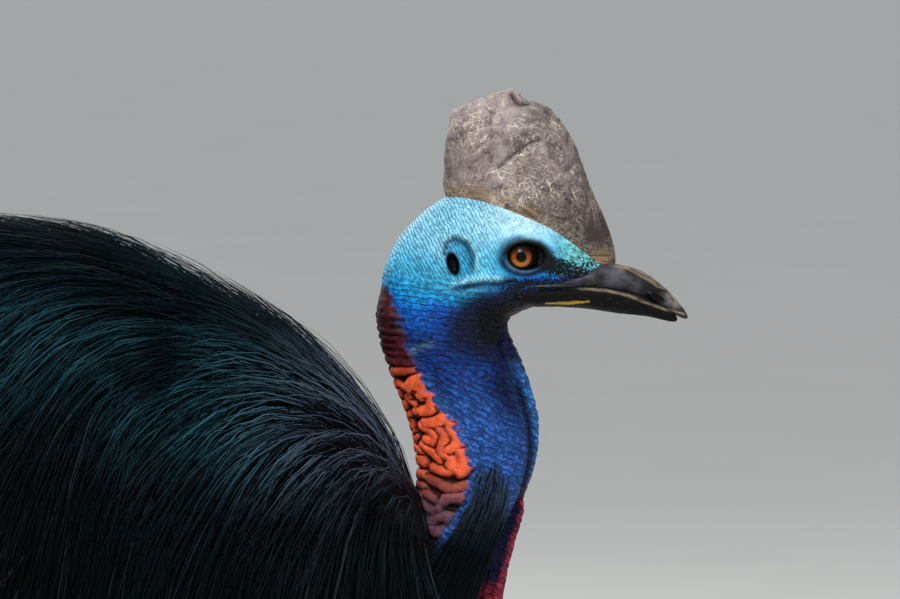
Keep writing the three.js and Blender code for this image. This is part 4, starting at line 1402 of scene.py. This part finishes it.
def sculptBill(mesh):
    points, normals = pointsOf(mesh), normalsOf(mesh)
    u, w = offEye(points)
    facing = soft(0.05, 0.4, np.abs(normals[:, 1]))
    near = {key: lineDistance(u, w, fromPhoto(line)) for key, line in bill.items()}
    push = -2.2 * hill(near["culmenGroove"], 1.4) + 0.8 * hill(near["culmenPlate"], 2.4)
    push -= 1.0 * hill(near["plateGroove"], 0.9)
    slit = ovalDistance(u, w, nostril["at"], nostril["size"], nostril["lean"])
    push -= nostril["deep"] * soft(1.05, 0.55, slit) - 0.7 * hill(slit - 1.35, 0.25)
    push += 0.7 * hill(near["tomium"], 1.7) - 0.8 * hill(near["lowGroove"], 1.2)
    push += 0.8 * hill(np.hypot(u - 84, w + 22), 9)
    points += normals * (push * facing)[:, None]
    points += normals * (0.12 * ripple(points, 7, 31))[:, None]
    setPoints(mesh, points)
    # paler along the cutting edge, and along the culmen plate's front partly as a painted highlight
    edge = np.maximum(hill(near["tomium"], 0.9), 0.8 * hill(near["culmenPlate"], 3.2) * soft(66, 76, u))
    giveValues(mesh, "edge", edge)
    # painted shade in the nostril and along the grooves
    hollowShade = np.maximum(soft(1.1, 0.8, slit), 0.8 * hill(near["culmenGroove"], 1.1))
    hollowShade = np.maximum(hollowShade, 0.6 * hill(near["plateGroove"], 0.7))
    giveValues(mesh, "hollowShade", np.maximum(hollowShade, 0.8 * hill(near["lowGroove"], 0.9)) * facing)
    yellow = lineDistance(u, w, fromPhoto([(546, 304.5), (568, 304.5), (590, 303)]))
    taper = np.interp(u, [17, 30, 40, 54], [0.4, 1.3, 1.5, 0.4])
    giveValues(mesh, "yellow", soft(1.1, 0.6, yellow / taper) * (w < -32))
    giveValues(mesh, "lower", np.full(len(points), float(w.mean() < -34)))
    return mesh


def billMaterial():
    material, tree, principled = newMaterial("billHorn")
    where = put(tree, "TexCoord").outputs["Object"]
    cloud = noiseOf(tree, where, 60.0, 4.0, 0.6)
    colour = blendOf(tree, between(tree, cloud, 0.35, 0.7), hue(0x1E1D21), hue(0x4E4D56))
    along = {"Vector": where, "Scale": (0.014, 0.002, 0.002), "Rotation": (0, 0.4, 0)}
    stretched = put(tree, "Mapping", along, vector_type="TEXTURE").outputs[0]
    streak = noiseOf(tree, stretched, 1.2, 4.0, 0.7)
    edge = sums(tree, "MULTIPLY", attribute(tree, "edge"), between(tree, streak, 0.3, 0.6, 0.25, 1.0))
    under = sums(tree, "MULTIPLY", attribute(tree, "lower"), 0.97)
    colour = blendOf(tree, under, colour, hue(0x030303))
    # pale tan along the cutting edge and the culmen plate, the culmen plate partly a painted highlight
    colour = blendOf(tree, edge, colour, hue(0x8A7C68))
    chips = between(tree, streak, 0.62, 0.7, 0.0, 0.35)
    colour = blendOf(tree, chips, colour, hue(0x6E675F))
    # painted shade in the nostril and the grooves
    colour = blendOf(tree, attribute(tree, "hollowShade"), colour, hue(0x050505))
    yellow = sums(tree, "MULTIPLY", attribute(tree, "yellow"), 0.9)
    colour = blendOf(tree, yellow, colour, hue(0xB4902C))
    tree.links.new(colour, principled.inputs["Base Color"])
    dull = between(tree, cloud, 0.3, 0.7, 0.3, 0.5)
    dull = sums(tree, "MULTIPLY_ADD", attribute(tree, "lower"), 0.25, dull)
    tree.links.new(dull, principled.inputs["Roughness"])
    bumped(tree, principled, sums(tree, "MULTIPLY_ADD", cloud, 0.4, streak), 0.0003)
    principled.inputs["Specular IOR Level"].default_value = 0.1
    return material


place("casqueDome", buildCasque(), casqueMaterial(), "casque_horn", ["casque"])
billHorn = billMaterial()
upperMesh = sculptBill(toMesh("billUpper", [loft(billUpper, 90, 200)]))
lowerMesh = sculptBill(toMesh("billLower", [loft(billLower, 72, 160)]))
place("billUpper", upperMesh, billHorn, "bill_horn", ["bill_upper"])
place("billLower", lowerMesh, billHorn, "bill_horn", ["bill_lower"])
print("casque and bill")


# Eyes
iris = {"radius": 8.6, "pupil": 3.6, "cornea": 0.9}


def buildEye(side):
    bm = bmesh.new()
    bmesh.ops.create_uvsphere(bm, u_segments=64, v_segments=64, radius=bird["eyeRadius"])
    bmesh.ops.rotate(bm, verts=bm.verts, matrix=Matrix.Rotation(math.pi / 2, 3, "X"))
    mesh = toMesh("eye", [bm])
    points = pointsOf(mesh)
    r = np.hypot(points[:, 0], points[:, 2])
    front = points[:, 1] * side > 0
    rise = np.where(front, iris["cornea"] * soft(9.6, 3.0, r), 0)
    points += unit(points) * rise[:, None]
    giveValues(mesh, "ring", np.where(front, r, 20.0))
    angle = np.arctan2(points[:, 2], points[:, 0])
    giveValues(mesh, "ray", angle * side)
    # height on the eyeball, for the painted shadow of the upper lid on the iris
    giveValues(mesh, "lower", points[:, 2] / bird["eyeRadius"])
    centre = np.array([bird["eyeForward"], side * bird["eyeApart"], bird["eyeHeight"]])
    setPoints(mesh, points + centre)
    return mesh


def eyeMaterial():
    material, tree, principled = newMaterial("eyeball")
    ring = attribute(tree, "ring")
    aboutPupil = sums(tree, "MULTIPLY", attribute(tree, "ray"), 9.0)
    spoke = put(tree, "CombineXYZ", {0: aboutPupil, 1: sums(tree, "MULTIPLY", ring, 0.35)})
    grain = noiseOf(tree, spoke.outputs[0], 1.6, 4.0, 0.65)
    amber = blendOf(tree, between(tree, grain, 0.3, 0.7), hue(0x8A4A14), hue(0xD08A34))
    low = attribute(tree, "lower")
    # darker up the iris, to near black at its top: the painted shadow of the upper lid
    amber = blendOf(tree, between(tree, low, -0.5, 0.05), amber, hue(0x7A3810))
    amber = blendOf(tree, between(tree, low, -0.05, 0.42), amber, hue(0x1C0C06))
    rimShade = between(tree, ring, iris["radius"] - 2.6, iris["radius"] - 0.1)
    colour = blendOf(tree, rimShade, amber, hue(0x160A06))
    pupil = between(tree, ring, iris["pupil"] + 0.7, iris["pupil"] - 0.2)
    colour = blendOf(tree, pupil, colour, hue(0x020202))
    tree.links.new(colour, principled.inputs["Base Color"])
    principled.inputs["Roughness"].default_value = 0.35
    principled.inputs["Specular IOR Level"].default_value = 0.05
    principled.inputs["Coat Weight"].default_value = 0.22
    principled.inputs["Coat Roughness"].default_value = 0.02
    return material


eyeball = eyeMaterial()
for side, name in ((-1, "right"), (1, "left")):
    place("eye" + name.capitalize(), buildEye(side), eyeball, "eyeball", ["eye_" + name])
print("eyes")


# Claws
def clawMaterial():
    material, tree, principled = newMaterial("clawHorn")
    where = put(tree, "TexCoord").outputs["Object"]
    cloud = noiseOf(tree, where, 45.0, 4.0, 0.6)
    colour = blendOf(tree, between(tree, cloud, 0.35, 0.7), hue(0x1C1814), hue(0x4A4034))
    tree.links.new(colour, principled.inputs["Base Color"])
    tree.links.new(between(tree, cloud, 0.3, 0.7, 0.28, 0.5), principled.inputs["Roughness"])
    bumped(tree, principled, noiseOf(tree, where, 260.0, 4.0, 0.7), 0.0004)
    return material


clawHorn = clawMaterial()
for legName in ("right", "left"):
    for toe in leg["toes"]:
        clawMesh = toMesh("claw", [loft(legs[legName]["claw_" + toe["name"]], 32, 48)])
        clawPoints = pointsOf(clawMesh)
        clawPoints[:, 2] = np.maximum(clawPoints[:, 2], 0)
        setPoints(clawMesh, clawPoints)
        node = "claw_" + toe["name"] + "_" + legName
        clawName = "claw" + toe["name"].capitalize() + legName.capitalize()
        place(clawName, clawMesh, clawHorn, "claw_horn", [node])
print("claws")


# Feathers
plume = {
    "body": 40000,
    "tail": 8000,
    "thigh": 2600,
    "neck": 8000,
    "halfWidth": 0.5,
    "halfThick": 0.3,
    "tailEnd": -474,
    # where the neck's feathers begin: degrees from its front, and depth below the eye
    "patchAngles": (4, 20, 25, 35, 47, 61, 75, 88, 91, 95, 98, 130, 180),
    "patchDepths": (400, 400, 206, 187, 171, 157, 147, 154, 174, 192, 204, 206, 196),
    "most": 8600,  # tufts in one piece
}


def lieOf(x, angle):
    # radians below straight back: a little more than the solids' locks, and most at the chest
    return 1.28 * np.sin(np.minimum(angle, math.pi)) ** 0.85 + 0.45 * soft(190, 330, x) * np.sin(angle)


def scatter(form, count, tLow, tHigh, widest, dice):
    # roots spread evenly over a form
    tries = count * 6
    t = dice.uniform(tLow, tHigh, tries)
    angle = dice.uniform(-widest, widest, tries)
    step = 1e-3
    run = form.point(t + step, angle) - form.point(t - step, angle)
    ring = form.point(t, angle + step) - form.point(t, angle - step)
    area = np.linalg.norm(np.cross(run, ring), axis=1)
    keep = dice.uniform(0, 1, tries) < area / np.quantile(area, 0.995)
    chosen = np.flatnonzero(keep)[:count]
    return t[chosen], angle[chosen]


def walkCoat(x, angle, length, depth, dice, steps=4, droop=0.5, looseFrom=-372):
    side = np.where(angle < 0, -1.0, 1.0)
    turned = np.abs(angle)
    start = turned.copy()
    stride = length / steps
    seedPoint = core.point(core.at(0, x), angle)
    sway = 0.16 * ripple(seedPoint, 130, 41) + 0.12 * ripple(seedPoint, 45, 42)
    sway = sway + dice.normal(0, 0.06, len(x))
    hanging = np.zeros(len(x), bool)
    limit = math.pi + dice.uniform(-0.12, 0.2, len(x))
    shaggy = dice.uniform(0, 1, len(x)) < 0.3
    places, outs = [], []
    heading = None
    for i in range(steps + 1):
        share = i / steps
        lift = -4 + (depth + 4) * math.sin(math.pi / 2 * share) ** 0.8
        t = core.at(0, x)
        at = core.point(t, side * turned, lift)
        out = core.normal(t, side * turned)
        if i > 1:
            hanging |= (x < looseFrom) | ((start < 2.0) & (turned > 2.05))
            slack = shaggy & (start > 2.0) & (turned > 2.2) & ~hanging
            hanging |= slack
            stride = np.where(slack, stride * 0.45, stride)
        if i > 0:
            heading = heading + np.array([0, 0, -droop]) if i > 1 else at
            heading = unit(np.where(hanging[:, None], heading, at - places[-1]))
            at = np.where(hanging[:, None], places[-1] + heading * stride[:, None], at)
            out = np.where(hanging[:, None], outs[-1], out)
        places.append(at)
        outs.append(out)
        radius = np.linalg.norm(at - core.middle(t), axis=1)
        slope = lieOf(x, turned) + sway
        x = x - np.cos(slope) * stride
        turned = np.clip(turned + np.sin(slope) * stride / radius, 0.001, limit)
    return np.array(places).transpose(1, 0, 2), np.array(outs).transpose(1, 0, 2)


def tufts(name, places, outs, halfWidth, halfThick, uv, tone):
    # Thin three-sided tapered strands, closed at the root and pointed at the tip, as one mesh.
    # Each has a small patch of the map at its root's place.
    count, rings, _ = places.shape
    run = unit(np.gradient(places, axis=1))
    sideways = unit(np.cross(run, outs))
    outward = np.cross(sideways, run)
    profile = np.array([0.55, 1.0, 0.95, 0.7, 0.0])[:rings]
    wide = halfWidth[:, None] * profile[None, :]
    thick = halfThick[:, None] * (0.4 + 0.6 * profile)[None, :]
    left = places - sideways * wide[..., None]
    right = places + sideways * wide[..., None]
    ridge = places + outward * thick[..., None] * 1.6
    body = np.stack([left, right, ridge], axis=2)[:, :-1].reshape(count, -1, 3)
    points = np.concatenate([body, places[:, -1:]], axis=1)
    each = points.shape[1]
    faces, sizes = [], []
    faces += [0, 2, 1]
    sizes += [3]
    for k in range(rings - 2):
        for a, b in ((0, 1), (1, 2), (2, 0)):
            faces += [3 * k + a, 3 * k + b, 3 * k + 3 + b, 3 * k + 3 + a]
            sizes += [4]
    k = rings - 2
    for a, b in ((0, 1), (1, 2), (2, 0)):
        faces += [3 * k + a, 3 * k + b, each - 1]
        sizes += [3]
    base = np.array(faces)[None, :] + each * np.arange(count)[:, None]
    sizes = np.tile(np.array(sizes), count)
    starts = np.concatenate([[0], np.cumsum(sizes)[:-1]])
    mesh = bpy.data.meshes.new(name)
    mesh.vertices.add(count * each)
    mesh.vertices.foreach_set("co", points.astype(np.float32).ravel())
    mesh.loops.add(base.size)
    mesh.loops.foreach_set("vertex_index", base.astype(np.int32).ravel())
    mesh.polygons.add(len(sizes))
    mesh.polygons.foreach_set("loop_start", starts.astype(np.int32))
    mesh.update(calc_edges=True)
    along = np.append(np.repeat(np.linspace(0, 1, rings)[:-1], 3), 1.0)
    giveValues(mesh, "along", np.tile(along, count))
    giveValues(mesh, "tone", np.repeat(tone, each))
    across = np.append(np.tile([0.0, 1.0, 0.5], rings - 1), 0.5)
    patch = np.stack([np.tile(across - 0.5, count), np.tile(along - 0.5, count)], axis=1) * 0.003
    flat = np.repeat(uv * 0.99 + 0.005, each, axis=0) + patch
    layer = mesh.uv_layers.new(name="OFBake")
    layer.uv.foreach_set("vector", flat[base.ravel()].astype(np.float32).ravel())
    return mesh


def unwrap(t, angle):
    # a form unrolled: round it one way, along it the other
    return np.stack([(np.asarray(angle) / (2 * math.pi)) % 1.0, t], axis=1)


def featherMaterial():
    material, tree, principled = newMaterial("feathers")
    where = put(tree, "TexCoord").outputs["Object"]
    tone = attribute(tree, "tone")
    broad = noiseOf(tree, where, 7.0, 3.0, 0.6)
    axes = put(tree, "SeparateXYZ", {0: where}).outputs
    # a teal sheen painted into the colour: a band across the shoulders, a painted highlight, weaker
    # towards the tail and greyer towards the neck
    sheenBand = sums(tree, "MULTIPLY_ADD", axes[0], 0.26, axes[2])
    low = between(tree, sheenBand, 0.85, 0.92, 0.03, 1.0)
    high = between(tree, sheenBand, 0.955, 0.99, 1.0, 0.18)
    back = between(tree, axes[0], 0.03, 0.14, 0.55, 1.0)
    high = sums(tree, "MULTIPLY", sums(tree, "MULTIPLY", high, low), back)
    sheen = sums(tree, "MULTIPLY", between(tree, broad, 0.32, 0.6), between(tree, tone, 0.1, 0.9))
    sheenHue = blendOf(tree, between(tree, axes[0], 0.14, 0.25), hue(0x306A7A), hue(0x56667A))
    colour = blendOf(tree, sums(tree, "MULTIPLY", sheen, high), hue(0x040507), sheenHue)
    # a few pale strands at random: painted highlights on single strands
    pale = between(tree, tone, 0.93, 0.99, 0.0, 0.5)
    colour = blendOf(tree, pale, colour, hue(0x343E46))
    tip = between(tree, attribute(tree, "along"), 0.55, 1.0, 0.0, 0.35)
    colour = blendOf(tree, tip, colour, hue(0x0A0C10))
    tree.links.new(colour, principled.inputs["Base Color"])
    tree.links.new(between(tree, tone, 0.0, 1.0, 0.42, 0.6), principled.inputs["Roughness"])
    principled.inputs["Specular IOR Level"].default_value = 0.11
    principled.inputs["Specular Tint"].default_value = (0.45, 0.8, 1.0, 1)
    return material


def placeTufts(name, places, outs, scale, uv, material, dice):
    pieces = math.ceil(len(places) / plume["most"])
    for part in range(pieces):
        chosen = slice(part * plume["most"], (part + 1) * plume["most"])
        count = len(places[chosen])
        wide = plume["halfWidth"] * scale * dice.uniform(0.7, 1.3, count)
        thick = plume["halfThick"] * scale * dice.uniform(0.8, 1.2, count)
        tone = dice.uniform(0, 1, count)
        mesh = tufts(name, places[chosen], outs[chosen], wide, thick, uv[chosen], tone)
        place(f"{name}{part + 1}" if pieces > 1 else name, mesh, material, "coat")
    print(name, len(places), "tufts,", pieces, "pieces")


feathers = featherMaterial()


def buildBodyCoat():
    dice = np.random.default_rng(7)
    t, angle = scatter(core, plume["body"] + plume["tail"], 0.02, 0.985, math.pi, dice)
    x = core.middle(t)[:, 0]
    roots = core.point(t, angle)
    keep = ~((neckPlace(roots)[1] < -3) & (roots[:, 2] > 690))  # none inside the neck
    t, angle, x = t[keep], angle[keep], x[keep]
    order = np.lexsort((x, angle > 0))
    t, angle, x = t[order], angle[order], x[order]
    length = np.interp(x, [-462, -380, -250, 0, 250, 340], [110, 190, 215, 190, 150, 110])
    length *= dice.uniform(0.8, 1.12, len(x))
    depth = bird["coatDepth"] * dice.uniform(0.45, 1.0, len(x))
    places, outs = walkCoat(x, angle, length, depth, dice)
    end = plume["tailEnd"] + dice.uniform(0, 70, (len(x), 1)) * soft(-250, -420, x)[:, None]
    past = np.maximum(end - places[..., 0], 0)  # what would stick out behind hangs down
    places[..., 0] += past - 22 * (1 - np.exp(-past / 22))
    places[..., 2] -= 0.8 * past
    placeTufts("bodyCoat", places, outs, 1.0, unwrap(t, angle), feathers, dice)


def buildThighCoat():
    for seed, name in ((8, "right"), (9, "left")):
        dice = np.random.default_rng(seed)
        form = legs[name]["thigh"]
        t, angle = scatter(form, plume["thigh"], 0.3, 0.9, math.pi, dice)
        reach = dice.uniform(0.22, 0.34, len(t))
        depth = bird["thighCoatDepth"] * dice.uniform(0.5, 1.0, len(t))
        drift = dice.normal(0, 0.1, len(t))
        steps = np.linspace(0, 1, 5)
        places, outs = [], []
        for s in steps:
            lift = -3 + (depth + 3) * math.sin(math.pi / 2 * s)
            places.append(form.point(t + reach * s, angle + drift * s, lift))
            outs.append(form.normal(np.clip(t + reach * s, 0, 0.98), angle))
        places, outs = np.array(places).transpose(1, 0, 2), np.array(outs).transpose(1, 0, 2)
        placeTufts("thighCoat" + name.capitalize(), places, outs, 0.9, unwrap(t, angle), feathers, dice)


def buildNeckCoat():
    # the ruff where the neck meets the body, and a patch that rises on each side
    dice = np.random.default_rng(10)
    count = plume["neck"]
    depth = dice.uniform(150, 300, count * 8)
    angle = dice.uniform(4, 180, count * 8)
    low = np.interp(angle, plume["patchAngles"], plume["patchDepths"])
    keep = np.flatnonzero(depth > low + dice.normal(0, 3, len(low)))[:count]
    depth, angle = depth[keep], np.radians(angle[keep])
    side = np.where(dice.uniform(0, 1, len(keep)) < 0.5, -1.0, 1.0)
    t = neckShare(depth)
    length = np.interp(depth, [150, 170, 200, 240], [16, 34, 62, 100]) * dice.uniform(0.75, 1.2, len(t))
    rise = np.interp(depth, [150, 200, 240], [2, 6, 14]) * dice.uniform(0.4, 1.0, len(t))
    drift = dice.normal(0.1, 0.08, len(t))
    places, outs = [], []
    for s in np.linspace(0, 1, 5):
        at = neckShare(depth + length * s)
        lift = -2 + (rise + 2) * math.sin(math.pi / 2 * s)
        places.append(neck.point(at, side * (angle + drift * s), lift))
        outs.append(neck.normal(np.clip(at, 0.02, 0.97), side * angle))
    places, outs = np.array(places).transpose(1, 0, 2), np.array(outs).transpose(1, 0, 2)
    placeTufts("neckCoat", places, outs, 0.42, unwrap(t, side * angle), feathers, dice)


buildBodyCoat()
buildThighCoat()
buildNeckCoat()


# Wing quills
quill = {"count": 5, "length": 290, "thick": 3.1}


def buildQuills():
    material, tree, principled = newMaterial("quillHorn")
    where = put(tree, "TexCoord").outputs["Object"]
    cloud = noiseOf(tree, where, 40.0, 3.0)
    tree.links.new(blendOf(tree, cloud, hue(0x040404), hue(0x0E0C0B)), principled.inputs["Base Color"])
    principled.inputs["Roughness"].default_value = 0.5
    principled.inputs["Specular IOR Level"].default_value = 0.14
    for side, name in ((-1, "right"), (1, "left")):
        pieces = []
        for i in range(quill["count"]):
            share = i / (quill["count"] - 1)
            length = quill["length"] * (1 - 0.25 * share)
            places = quillPlaces(42 + 24 * share, 1.34 + 0.13 * share, side, length, share)
            fat = quill["thick"] * (1 - 0.65 * np.linspace(0, 1, len(places[0])))
            pieces.append(tube(places[0], places[1], fat, fat, around=12, rings=40, ends=(0.02, 0.05)))
        mesh = toMesh("quills", pieces)
        place("wing" + name.capitalize(), mesh, material, "wing_quill", ["wing_" + name])


def quillPlaces(x, turned, side, length, share, steps=5):
    places, outs = [], []
    for i in range(steps + 1):
        lift = -22 + 25 * math.sin(math.pi / 2 * min(1, 2 * i / steps))
        t = coat.at(0, np.array([x]))
        angle = np.array([side * turned])
        at = coat.point(t, angle, np.array([lift]))[0]
        places.append(at)
        outs.append(coat.normal(t, angle)[0])
        radius = np.linalg.norm(at - coat.middle(t)[0])
        slope = 0.55 + 0.4 * share + (turned - 1.5) * 0.5
        x -= math.cos(slope) * length / steps
        turned += math.sin(slope) * length / steps / radius
    return places, outs


buildQuills()
print("wings")


# Floor
def buildFloor():
    bm = bmesh.new()
    bmesh.ops.create_circle(bm, cap_ends=True, segments=96, radius=300.0)
    mesh = bpy.data.meshes.new("floor")
    bm.to_mesh(mesh)
    bm.free()
    material, tree, principled = newMaterial("paleFloor")
    where = put(tree, "TexCoord").outputs["Object"]
    cloud = noiseOf(tree, where, 1.5, 3.0)
    tree.links.new(blendOf(tree, cloud, hue(0xE2E2DE), hue(0xEAEAE6)), principled.inputs["Base Color"])
    principled.inputs["Roughness"].default_value = 0.7
    mesh.materials.append(material)
    floor = bpy.data.objects.new("floor", mesh)
    bpy.context.scene.collection.objects.link(floor)


buildFloor()
print("floor")
